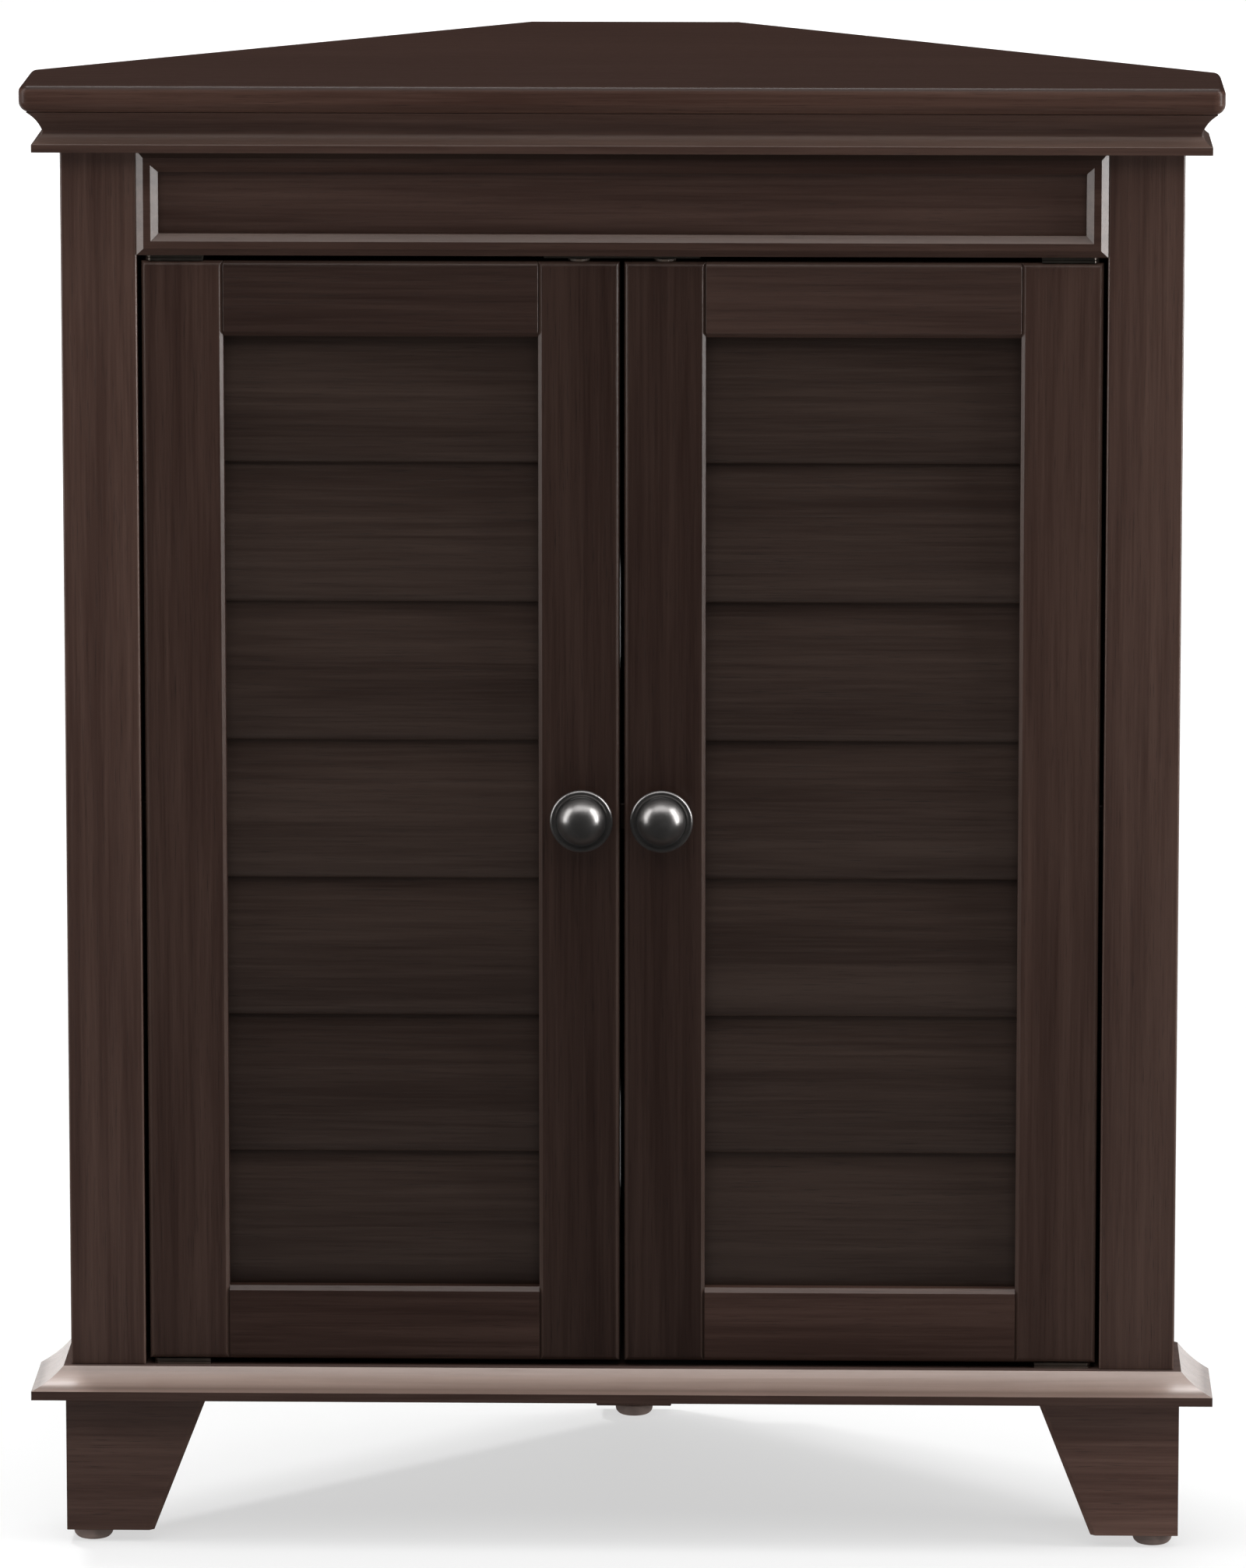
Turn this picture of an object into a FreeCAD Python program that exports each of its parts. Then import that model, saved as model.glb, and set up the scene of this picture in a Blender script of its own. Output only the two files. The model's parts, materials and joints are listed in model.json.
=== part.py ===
import FreeCAD
import Part
import math
import os

from FreeCAD import Vector

# Corner cabinet with two louvred doors. Every piece is built here and written as its own STEP file.
# Lengths are millimetres and angles degrees. X runs to the right seen from the front, Y runs from
# the front to the corner of the room, and Z runs up. The origin lies on the floor, under the middle
# of the whole object.

# Top board
TOP_WIDTH = 660.0
TOP_DEPTH = 350.0
TOP_RETURN = 80.0
TOP_BACK_WIDTH = 120.0
TOP_THICKNESS = 15.0
TOP_OVERHANG = 21.0
TOP_CORNER_RADIUS = 7.0
TOP_EDGE_RADIUS = 4.0
TOP_LOWER_RADIUS = 6.0
WALL_OVERHANG = 6.0

# Heights of the storeys under the top
GLIDE_HEIGHT = 7.0
FOOT_HEIGHT = 79.0
BASE_THICKNESS = 16.0
CARCASS_HEIGHT = 707.0

# Moulded edge of the base board
BASE_OVERHANG = 21.0
BASE_LEDGE = 4.0
BASE_LIP = 5.0
BASE_HOLLOW = 1.3

# Cornice under the top board
CORNICE_HEIGHT = 22.5
CORNICE_LIP = 14.5
CORNICE_LIP_FACE = 4.5
CORNICE_LIP_HEIGHT = 10.5
CORNICE_LIP_HOLLOW = 0.7
CORNICE_NECK = 8.8
CORNICE_NECK_HEIGHT = 1.5
CORNICE_COVE_HOLLOW = 1.0
CORNICE_TOP = 17.0

# Carcass boards
POST_WIDTH = 42.0
POST_THICKNESS = 20.0
POST_ARRIS = 1.5
RETURN_THICKNESS = 20.0
PANEL_THICKNESS = 9.0
CLEAT_SIZE = 20.0
CLEAT_END_GAP = 16.0
CABLE_SLOT_WIDTH = 26.0
CABLE_SLOT_HEIGHT = 60.0
CABLE_SLOT_RISE = 62.0
CABLE_SLOT_ASIDE = 25.0

# Frieze above the doors
FRIEZE_HEIGHT = 80.5
FRIEZE_THICKNESS = 16.0
FRIEZE_TENON = 10.0
FRIEZE_SINK = 3.5
BEAD_WIDTH = 12.0
BEAD_DEPTH = 7.0
BEAD_BEVEL = 4.0
BEAD_EDGE = 3.5

# Doors
DOOR_THICKNESS = 21.0
DOOR_RECESS = 1.0
DOOR_SIDE_GAP = 2.2
DOOR_MEETING_GAP = 2.4
DOOR_ARRIS = 3.5
STILE_WIDTH = 45.0
STILE_CHAMFER = 2.0
RAIL_WIDTH = 42.0
RAIL_CHAMFER = 2.5
TENON_LENGTH = 15.0
TENON_THICKNESS = 7.0
TENON_INSET = 8.0
TENON_HEIGHT = 16.0

# Louvres
LOUVRE_COUNT = 7
LOUVRE_THICKNESS = 9.5
LOUVRE_NOSE = 1.8
LOUVRE_TILT = 4.0
LOUVRE_OVERLAP = 8.0
LOUVRE_FIRST_DROP = 71.0
LOUVRE_TOE = 2.0
LOUVRE_SETBACK = 13.5
LOUVRE_HOUSING = 6.0
LOUVRE_TENON = 5.0
LOUVRE_TENON_INSET = 14.0

# Knife hinges
PIVOT_INSET = 8.0
PIVOT_SETBACK = 6.0
PIVOT_RADIUS = 2.2
PIVOT_DEPTH = 9.0
LEAF_WIDTH = 11.0
LEAF_LENGTH = 26.0
LEAF_THICKNESS = 1.45
LEAF_GAP = 0.3
LEAF_CORNER = 2.5
LEAF_SCREW_FIRST = 11.0
LEAF_SCREW_PITCH = 9.5

# Magnetic catch
CATCH_LENGTH = 86.0
CATCH_WIDTH = 11.0
CATCH_THICKNESS = 1.5
CATCH_SETBACK = 3.0
CATCH_SCREW_INSET = 5.0
MAGNET_RADIUS = 5.0
MAGNET_DEPTH = 15.0
MAGNET_FLANGE_RADIUS = 6.0
MAGNET_FLANGE = 1.2

# Knobs
KNOB_LENGTH = 28.0
KNOB_RADIUS = 17.5
KNOB_DOME_RADIUS = 13.6
KNOB_NECK_RADIUS = 6.2
KNOB_FOOT_RADIUS = 8.5
KNOB_FOOT = 2.0
KNOB_RIM_START = 13.0
KNOB_RIM = 3.0
KNOB_INSET = 21.0
KNOB_DOME_STEPS = 5
BOLT_RADIUS = 2.0
BOLT_REACH = 9.0
BOLT_HEAD_RADIUS = 4.2
BOLT_HEAD = 2.2

# Feet
FOOT_PROUD = 3.0
FOOT_BOARD = 20.0
FOOT_TOP_LENGTH = 80.0
FOOT_BOTTOM_LENGTH = 49.0
FOOT_SIDE_TOP_LENGTH = 62.0
FOOT_ARRIS = 2.5
FOOT_BLOCK = 28.0
FOOT_BLOCK_HEIGHT = 50.0
BACK_FOOT_TOP = 64.0
BACK_FOOT_BOTTOM = 44.0
BACK_FOOT_DEPTH = 23.0
BACK_FOOT_SETBACK = 2.0
GLIDE_RADIUS = 11.0
GLIDE_FLAT_RADIUS = 8.0
GLIDE_INSET = 14.0
NAIL_RADIUS = 1.3
NAIL_LENGTH = 12.0

# Shelf
SHELF_HEIGHT = 300.0
SHELF_THICKNESS = 15.0
SHELF_SETBACK = 12.0
SHELF_GAP = 2.0
SHELF_ARRIS = 1.5
PEG_RADIUS = 2.5
PEG_DEPTH = 7.0
PEG_REACH = 10.0
PEG_COLLAR_RADIUS = 4.0
PEG_COLLAR = 1.5
PEG_ROW = 3
PEG_PITCH = 32.0
PEG_REAR_INSET = 70.0

# Wood screws, all alike
SCREW_RADIUS = 1.5
SCREW_LENGTH = 14.0
SCREW_HEAD_RADIUS = 3.0
SCREW_HEAD = 1.35
PANEL_SCREW_ROWS = 3
PANEL_SCREW_END = 60.0

# Fits
FIT_CLEARANCE = 0.1
RUNNING_CLEARANCE = 0.06
PIVOT_HOLE_CLEARANCE = 0.3

# Flat sides of the small turned pieces and of the holes that take them
KNOB_SIDES = 28
GLIDE_SIDES = 16
MAGNET_SIDES = 12
PEG_SIDES = 8
BOLT_SIDES = 8
SCREW_SIDES = 6

# Heights
base_bottom = GLIDE_HEIGHT + FOOT_HEIGHT
base_top = base_bottom + BASE_THICKNESS
top_bottom = base_top + CARCASS_HEIGHT
top_top = top_bottom + TOP_THICKNESS
cornice_bottom = top_bottom - CORNICE_HEIGHT
frieze_bottom = top_bottom - FRIEZE_HEIGHT
end_gap = 2 * LEAF_THICKNESS + LEAF_GAP
door_bottom = base_top + end_gap
door_top = frieze_bottom - end_gap
door_middle = (door_bottom + door_top) / 2
shelf_bottom = base_top + SHELF_HEIGHT

# Depths, with the face of the posts as the reference. The nearest of the knobs, the top and the
# base and the rear edge of the top lie the same way from the origin.
foremost = min(DOOR_RECESS - KNOB_LENGTH, -TOP_OVERHANG, -BASE_OVERHANG)
face = -(foremost + TOP_DEPTH - TOP_OVERHANG) / 2
top_front = face - TOP_OVERHANG
top_back = top_front + TOP_DEPTH
carcass_back = top_back - WALL_OVERHANG
door_front = face + DOOR_RECESS
door_back = door_front + DOOR_THICKNESS
frieze_front = face + FRIEZE_SINK
frieze_back = frieze_front + FRIEZE_THICKNESS
shelf_front = door_back + SHELF_SETBACK

# Each wall side runs straight from the end of a return to the end of the flat at the back.
slant = math.sqrt(2)
carcass_half = TOP_WIDTH / 2 - TOP_OVERHANG
wall_run = (TOP_WIDTH - TOP_BACK_WIDTH) / 2
wall_rise = TOP_DEPTH - TOP_RETURN
wall_length = math.hypot(wall_run, wall_rise)
panel_inset = WALL_OVERHANG + PANEL_THICKNESS
panel_back = carcass_back - PANEL_THICKNESS
return_inner = carcass_half - RETURN_THICKNESS

# Widths in the door opening
opening_half = carcass_half - POST_WIDTH
door_outer = opening_half - DOOR_SIDE_GAP
door_inner = DOOR_MEETING_GAP / 2
hinge_stile_inner = door_outer - STILE_WIDTH
meeting_stile_inner = door_inner + STILE_WIDTH
pivot_x = door_outer - PIVOT_INSET
pivot_y = door_front + PIVOT_SETBACK
knob_x = door_inner + KNOB_INSET
magnet_x = door_inner + STILE_WIDTH / 2
catch_y = door_front + CATCH_SETBACK + CATCH_WIDTH / 2

# Louvres hang from the top rail's lower edge and reach the bottom rail's upper edge.
louvre_top = door_top - RAIL_WIDTH
louvre_bottom = door_bottom + RAIL_WIDTH
louvre_run = louvre_top - louvre_bottom + LOUVRE_TOE - LOUVRE_FIRST_DROP
louvre_pitch = louvre_run / (LOUVRE_COUNT - 1)
louvre_height = louvre_pitch + LOUVRE_OVERLAP
tilt = math.radians(LOUVRE_TILT)

UP = Vector(0, 0, 1)
DOWN = Vector(0, 0, -1)
FORWARD = Vector(0, -1, 0)
nodes = {}


def block(x0, x1, y0, y1, z0, z1):
    """Box between two corners; the two x values may come in either order."""
    corner = Vector(min(x0, x1), y0, z0)
    return Part.makeBox(abs(x1 - x0), y1 - y0, z1 - z0, corner)


def prism(points, bottom, top):
    """Upright prism over a plan outline."""
    corners = [Vector(x, y, bottom) for x, y in points]
    return Part.Face(Part.makePolygon(corners + corners[:1])).extrude(UP * (top - bottom))


def sided(side, points):
    """Plan outline for the right side, or its mirror image for the left side."""
    return [(side * x, y) for x, y in points]


def outline(place, start, *steps):
    """Flat face inside lines and arcs. A step is a point, or a pair: a point on the arc and its end."""
    edges = []
    at = start
    for step in steps + (start,):
        is_arc = isinstance(step[0], tuple)
        end = step[1] if is_arc else step
        if is_arc:
            edges.append(Part.Arc(place(*at), place(*step[0]), place(*end)).toShape())
        elif end != at:
            edges.append(Part.LineSegment(place(*at), place(*end)).toShape())
        at = end
    return Part.Face(Part.Wire(edges))


def hollow(start, end, depth):
    """Pair for an outline: the middle of an arc that sinks to the left of its chord, and its end."""
    run = end[0] - start[0]
    rise = end[1] - start[1]
    chord = math.hypot(run, rise)
    middle = (start[0] + run / 2 - depth * rise / chord, start[1] + rise / 2 + depth * run / chord)
    return middle, end


def turned(base, axis, sides, *rings):
    """Turned piece with flat sides; each ring gives the distance to its flats and that along the axis."""
    stretch = 1 / math.cos(math.pi / sides)
    turns = [math.pi * (2 * number + 1) / sides for number in range(sides)]
    loops = [[Vector(stretch * flat * math.cos(turn), stretch * flat * math.sin(turn), height)
              for turn in turns] for flat, height in rings]
    patches = [loops[0], loops[-1]]
    for lower, upper in zip(loops, loops[1:]):
        for here in range(sides):
            patches.append([lower[here - 1], lower[here], upper[here], upper[here - 1]])
    faces = [Part.Face(Part.makePolygon(patch + patch[:1])) for patch in patches]
    solid = Part.makeSolid(Part.makeShell(faces))
    first = UP if abs(axis.z) < 1 / 2 else FORWARD
    solid.Placement = FreeCAD.Placement(base, FreeCAD.Rotation(first, Vector(), axis, "ZXY"))
    return solid


def near(shape, *points):
    """The edges whose middles lie nearest to the given points."""
    def distance(edge, point):
        middle = edge.valueAt((edge.FirstParameter + edge.LastParameter) / 2)
        return middle.distanceToPoint(Vector(*point))
    return [min(shape.Edges, key=lambda edge: distance(edge, point)) for point in points]


def cut(shape, *tools):
    """Shape less the tools, as one solid where one is left."""
    left = shape.cut(list(tools))
    return left.Solids[0] if len(left.Solids) == 1 else left


def joined(*shapes):
    """One solid from touching shapes, with faces that lie in one plane merged."""
    return shapes[0].fuse(list(shapes[1:])).removeSplitter().Solids[0]


def screw_shape(base, inward, clearance):
    """Countersunk screw set flush at base, or with a clearance the hole that takes it."""
    radius = SCREW_RADIUS + clearance
    head = SCREW_HEAD_RADIUS + 2 * clearance
    start = base - inward * clearance
    return turned(start, inward, SCREW_SIDES, (head, 0), (radius, SCREW_HEAD + clearance),
                  (radius, SCREW_LENGTH + 2 * clearance))


def screws(places):
    """Screws at pairs of base point and inward direction."""
    return [screw_shape(base, inward, 0) for base, inward in places]


def screw_holes(places):
    """Holes for screws at the same pairs."""
    return [screw_shape(base, inward, FIT_CLEARANCE) for base, inward in places]


def wall_y(x, inset):
    """Depth at which a line that runs inside the wall side, an inset away, has the given x."""
    along = wall_rise * (TOP_WIDTH / 2 - x) - wall_length * inset
    return top_front + TOP_RETURN + along / wall_run


def wall_x(y, inset):
    """The x at which that line has the given depth."""
    along = wall_run * (y - top_front - TOP_RETURN) + wall_length * inset
    return TOP_WIDTH / 2 - along / wall_rise


def inward_normal(side):
    """Direction from a wall side into the cabinet."""
    return Vector(-side * wall_rise, -wall_run, 0) / wall_length


def on_wall(side, x, z, depth):
    """Point on a wall panel: x of its inner face, height, and how far outward of that face."""
    return Vector(side * x, wall_y(x, panel_inset), z) - inward_normal(side) * depth


# Where the screws go: a base point on the surface and the direction into the wood.
def panel_screw_places(side):
    rows = range(PANEL_SCREW_ROWS)
    rise = (CARCASS_HEIGHT - 2 * PANEL_SCREW_END) / (PANEL_SCREW_ROWS - 1)
    heights = [base_top + PANEL_SCREW_END + rise * row for row in rows]
    edge = carcass_half - RETURN_THICKNESS / 2
    places = [on_wall(side, edge, z, PANEL_THICKNESS) for z in heights]
    cleat_z = top_bottom - CLEAT_SIZE / 2
    for x in cleat_span():
        shift = math.copysign(2 * CLEAT_SIZE, sum(cleat_span()) / 2 - x)
        places.append(on_wall(side, x + shift, cleat_z, PANEL_THICKNESS))
    return [(place, inward_normal(side)) for place in places]


def back_screw_places():
    height = top_bottom - CLEAT_SIZE / 2
    spots = [Vector(side * CLEAT_SIZE, carcass_back, height) for side in (-1, 1)]
    return [(spot, FORWARD) for spot in spots]


def leaf_screw_places(side, z, direction):
    spots = []
    for number in range(2):
        x = pivot_x - LEAF_SCREW_FIRST - LEAF_SCREW_PITCH * number
        spots.append((Vector(side * x, pivot_y, z), direction))
    return spots


def catch_screw_places():
    height = frieze_bottom - CATCH_THICKNESS
    reach = CATCH_LENGTH / 2 - CATCH_SCREW_INSET
    return [(Vector(side * reach, catch_y, height), UP) for side in (-1, 1)]


def upper_leaf_screws():
    height = frieze_bottom - LEAF_THICKNESS
    return [place for side in (-1, 1) for place in leaf_screw_places(side, height, UP)]


def lower_leaf_screws():
    height = base_top + LEAF_THICKNESS
    return [place for side in (-1, 1) for place in leaf_screw_places(side, height, DOWN)]


def cleat_span():
    """The x values, on the wall panel's inner face, between which a side cleat runs."""
    rear = wall_x(panel_back, panel_inset) + CLEAT_SIZE * slant + CLEAT_END_GAP
    return return_inner - CLEAT_END_GAP, rear


def build_top():
    half = TOP_WIDTH / 2
    corner = top_front + TOP_RETURN
    back = TOP_BACK_WIDTH / 2
    plan = [(-half, top_front), (half, top_front), (half, corner),
            (back, top_back), (-back, top_back), (-half, corner)]
    board = prism(plan, top_bottom, top_top)
    middle = (top_bottom + top_top) / 2
    board = board.makeFillet(TOP_CORNER_RADIUS, near(
        board, (-half, top_front, middle), (half, top_front, middle)))
    side_y = (top_front + TOP_CORNER_RADIUS + corner) / 2
    trimmed = TOP_CORNER_RADIUS * (1 - 1 / slant)
    for z, radius in ((top_bottom, TOP_LOWER_RADIUS), (top_top, TOP_EDGE_RADIUS)):
        rounded = [(0, top_front, z)]
        for side in (-1, 1):
            rounded.append((side * half, side_y, z))
            rounded.append((side * (half - trimmed), top_front + trimmed, z))
        board = board.makeFillet(radius, near(board, *rounded))
    nodes["top_panel"] = board


def cornice_section(place):
    """Moulding profile: how far it stands out, and height above its lower edge."""
    lip = (CORNICE_LIP, CORNICE_LIP_FACE)
    neck = (CORNICE_NECK, CORNICE_LIP_HEIGHT + CORNICE_NECK_HEIGHT)
    return outline(place, (0, 0), (CORNICE_LIP, 0), lip,
                   hollow(lip, (CORNICE_NECK, CORNICE_LIP_HEIGHT), CORNICE_LIP_HOLLOW), neck,
                   hollow(neck, (CORNICE_TOP, CORNICE_HEIGHT), CORNICE_COVE_HOLLOW),
                   (0, CORNICE_HEIGHT))


def build_cornice():
    reach = carcass_half + CORNICE_TOP
    front = face - CORNICE_TOP
    section = cornice_section(lambda out, up: Vector(-reach, face - out, cornice_bottom + up))
    plan = [(-carcass_half, face), (carcass_half, face), (reach, front), (-reach, front)]
    keep = prism(plan, cornice_bottom, top_bottom)
    nodes["cornice_front"] = section.extrude(Vector(2 * reach, 0, 0)).common(keep).Solids[0]
    for name, side in (("cornice_left", -1), ("cornice_right", 1)):
        section = cornice_section(
            lambda out, up: Vector(side * (carcass_half + out), front, cornice_bottom + up))
        end = wall_y(carcass_half, WALL_OVERHANG)
        plan = [(carcass_half, face), (reach, front), (reach, wall_y(reach, WALL_OVERHANG)),
                (carcass_half, end)]
        keep = prism(sided(side, plan), cornice_bottom, top_bottom)
        nodes[name] = section.extrude(Vector(0, end - front, 0)).common(keep).Solids[0]


def base_waste(place):
    """What the cutter takes off the base board's edge: a hollow from the ledge out to the lip."""
    lip = (BASE_OVERHANG, base_bottom + BASE_LIP)
    above = base_top + BASE_THICKNESS
    beyond = 2 * BASE_OVERHANG
    return outline(place, lip, hollow(lip, (BASE_LEDGE, base_top), BASE_HOLLOW), (BASE_LEDGE, above),
                   (beyond, above), (beyond, lip[1]))


def build_base():
    half = carcass_half + BASE_OVERHANG
    front = face - BASE_OVERHANG
    corner = wall_y(half, WALL_OVERHANG)
    back = wall_x(carcass_back, WALL_OVERHANG)
    plan = [(-half, front), (half, front), (half, corner),
            (back, carcass_back), (-back, carcass_back), (-half, corner)]
    board = prism(plan, base_bottom, base_top)
    far = half + BASE_OVERHANG
    waste = base_waste(lambda out, z: Vector(-far, face - out, z))
    tools = [waste.extrude(Vector(2 * far, 0, 0))]
    start = face - 2 * BASE_OVERHANG
    for side in (-1, 1):
        waste = base_waste(lambda out, z: Vector(side * (carcass_half + out), start, z))
        tools.append(waste.extrude(Vector(0, TOP_DEPTH, 0)))
    nodes["base_panel"] = cut(board, *tools, *screw_holes(lower_leaf_screws()))


def frieze_tenon(side, clearance):
    """Stub tenon at one end of the frieze, or with a clearance its mortise."""
    third = FRIEZE_THICKNESS / 3
    return block(side * (opening_half - clearance), side * (opening_half + FRIEZE_TENON + clearance),
                 frieze_front + third - clearance, frieze_back - third + clearance,
                 frieze_bottom + FRIEZE_HEIGHT / 4 - clearance,
                 top_bottom - FRIEZE_HEIGHT / 4 + clearance)


def build_posts():
    for name, side in (("left_post", -1), ("right_post", 1)):
        post = block(side * opening_half, side * carcass_half,
                     face, face + POST_THICKNESS, base_top, top_bottom)
        middle = (base_top + top_bottom) / 2
        post = post.makeFillet(POST_ARRIS, near(
            post, (side * opening_half, face, middle), (side * carcass_half, face, middle)))
        nodes[name] = cut(post, frieze_tenon(side, FIT_CLEARANCE))


def bead(origin, along, inward, length):
    """One mitred length of the flat moulding with two bevels that frames the frieze."""
    def place(across, out):
        return origin + inward * across + FORWARD * out

    section = outline(place, (0, 0), (0, BEAD_EDGE), (BEAD_BEVEL, BEAD_DEPTH),
                      (BEAD_WIDTH - BEAD_BEVEL, BEAD_DEPTH), (BEAD_WIDTH, BEAD_EDGE), (BEAD_WIDTH, 0))
    corners = [origin, origin + along * length,
               origin + along * (length - BEAD_WIDTH) + inward * BEAD_WIDTH,
               origin + along * BEAD_WIDTH + inward * BEAD_WIDTH]
    keep = Part.Face(Part.makePolygon(corners + corners[:1])).extrude(FORWARD * BEAD_DEPTH)
    return section.extrude(along * length).common(keep).Solids[0]


def build_frieze():
    board = block(-opening_half, opening_half, frieze_front, frieze_back, frieze_bottom, top_bottom)
    board = joined(board, frieze_tenon(-1, 0), frieze_tenon(1, 0))
    places = upper_leaf_screws() + catch_screw_places()
    nodes["frieze_panel"] = cut(board, *screw_holes(places))
    left = Vector(-opening_half, frieze_front, frieze_bottom)
    right = Vector(opening_half, frieze_front, cornice_bottom)
    width = right.x - left.x
    height = right.z - left.z
    along = Vector(1, 0, 0)
    nodes["frieze_mouldings"] = Part.makeCompound([
        bead(left, along, UP, width), bead(left, UP, along, height),
        bead(right, along * -1, DOWN, width), bead(right, DOWN, along * -1, height)])


def peg_places(side):
    """Bases and directions of the two peg rows on one side, at the pegs' height."""
    height = shelf_bottom - PEG_RADIUS
    middle = (shelf_front + wall_y(return_inner, panel_inset)) / 2
    x = wall_x(panel_back, panel_inset) + PEG_REAR_INSET
    return {"return": (Vector(side * return_inner, middle, height), Vector(-side, 0, 0)),
            "panel": (on_wall(side, x, height, 0), inward_normal(side))}


def peg_holes(side, board):
    base, inward = peg_places(side)[board]
    low = -(PEG_ROW - 1) / 2
    depth = PEG_DEPTH + FIT_CLEARANCE
    radius = PEG_RADIUS + FIT_CLEARANCE
    starts = [base - inward * depth + UP * (PEG_PITCH * (low + step)) for step in range(PEG_ROW)]
    return [turned(start, inward, PEG_SIDES, (radius, 0), (radius, depth)) for start in starts]


def build_sides():
    for word, side in (("left", -1), ("right", 1)):
        back = face + POST_THICKNESS
        plan = [(return_inner, back), (carcass_half, back),
                (carcass_half, wall_y(carcass_half, panel_inset)),
                (return_inner, wall_y(return_inner, panel_inset))]
        board = prism(sided(side, plan), base_top, top_bottom)
        holes = screw_holes(panel_screw_places(side))
        nodes[word + "_side_return"] = cut(board, *holes, *peg_holes(side, "return"))
        plan = [(carcass_half, wall_y(carcass_half, WALL_OVERHANG)),
                (wall_x(carcass_back, WALL_OVERHANG), carcass_back),
                (wall_x(carcass_back, panel_inset), carcass_back),
                (carcass_half, wall_y(carcass_half, panel_inset))]
        panel = prism(sided(side, plan), base_top, top_bottom)
        nodes[word + "_wall_panel"] = cut(panel, *holes, *peg_holes(side, "panel"))


def cable_slot(centre):
    """Upright opening with round ends for leads, to one side, where the doors' gap doesn't show it."""
    radius = CABLE_SLOT_WIDTH / 2
    half = CABLE_SLOT_HEIGHT / 2 - radius
    section = outline(lambda x, z: Vector(CABLE_SLOT_ASIDE + x, panel_back, centre + z),
                      (radius, -half), (radius, half), ((0, half + radius), (-radius, half)),
                      (-radius, -half), ((0, -half - radius), (radius, -half)))
    return section.extrude(Vector(0, PANEL_THICKNESS, 0))


def build_back():
    front = wall_x(panel_back, panel_inset)
    back = wall_x(carcass_back, panel_inset)
    plan = [(-front, panel_back), (front, panel_back), (back, carcass_back), (-back, carcass_back)]
    panel = prism(plan, base_top, top_bottom)
    slots = [cable_slot(base_top + CABLE_SLOT_RISE),
             cable_slot(shelf_bottom + SHELF_THICKNESS + CABLE_SLOT_RISE)]
    nodes["centre_back_panel"] = cut(panel, *slots, *screw_holes(back_screw_places()))


def build_cleats():
    inner = panel_inset + CLEAT_SIZE
    step = inward_normal(1).x * CLEAT_SIZE
    low = top_bottom - CLEAT_SIZE
    first, last = cleat_span()
    plan = [(first, wall_y(first, panel_inset)), (last, wall_y(last, panel_inset)),
            (last + step, wall_y(last + step, inner)), (first + step, wall_y(first + step, inner))]
    cleats = []
    for side in (-1, 1):
        cleat = prism(sided(side, plan), low, top_bottom)
        cleats.append(cut(cleat, *screw_holes(panel_screw_places(side))))
    half = 2 * CLEAT_SIZE
    rear = block(-half, half, panel_back - CLEAT_SIZE, panel_back, low, top_bottom)
    cleats.append(cut(rear, *screw_holes(back_screw_places())))
    nodes["top_cleats"] = Part.makeCompound(cleats)


def build_shelf():
    half = return_inner - SHELF_GAP
    inset = panel_inset + SHELF_GAP
    corner = wall_y(half, inset)
    rear = panel_back - SHELF_GAP
    back = wall_x(rear, inset)
    plan = [(-half, shelf_front), (half, shelf_front), (half, corner),
            (back, rear), (-back, rear), (-half, corner)]
    board = prism(plan, shelf_bottom, shelf_bottom + SHELF_THICKNESS)
    nodes["adjustable_shelf"] = board.makeFillet(SHELF_ARRIS, near(
        board, (0, shelf_front, shelf_bottom), (0, shelf_front, shelf_bottom + SHELF_THICKNESS)))
    pegs = []
    for side in (-1, 1):
        for base, inward in peg_places(side).values():
            start = base - inward * PEG_DEPTH
            collar_end = PEG_DEPTH + PEG_COLLAR
            pegs.append(turned(start, inward, PEG_SIDES, (PEG_RADIUS, 0), (PEG_RADIUS, PEG_DEPTH),
                               (PEG_COLLAR_RADIUS, PEG_DEPTH), (PEG_COLLAR_RADIUS, collar_end),
                               (PEG_RADIUS, collar_end), (PEG_RADIUS, PEG_DEPTH + PEG_REACH)))
    nodes["shelf_pins"] = Part.makeCompound(pegs)


def glide_places():
    x = carcass_half + FOOT_PROUD - GLIDE_INSET
    y = face - FOOT_PROUD + GLIDE_INSET
    rear = carcass_back - BACK_FOOT_SETBACK - BACK_FOOT_DEPTH / 2
    return [Vector(-x, y, 0), Vector(x, y, 0), Vector(0, rear, 0)]


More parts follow.
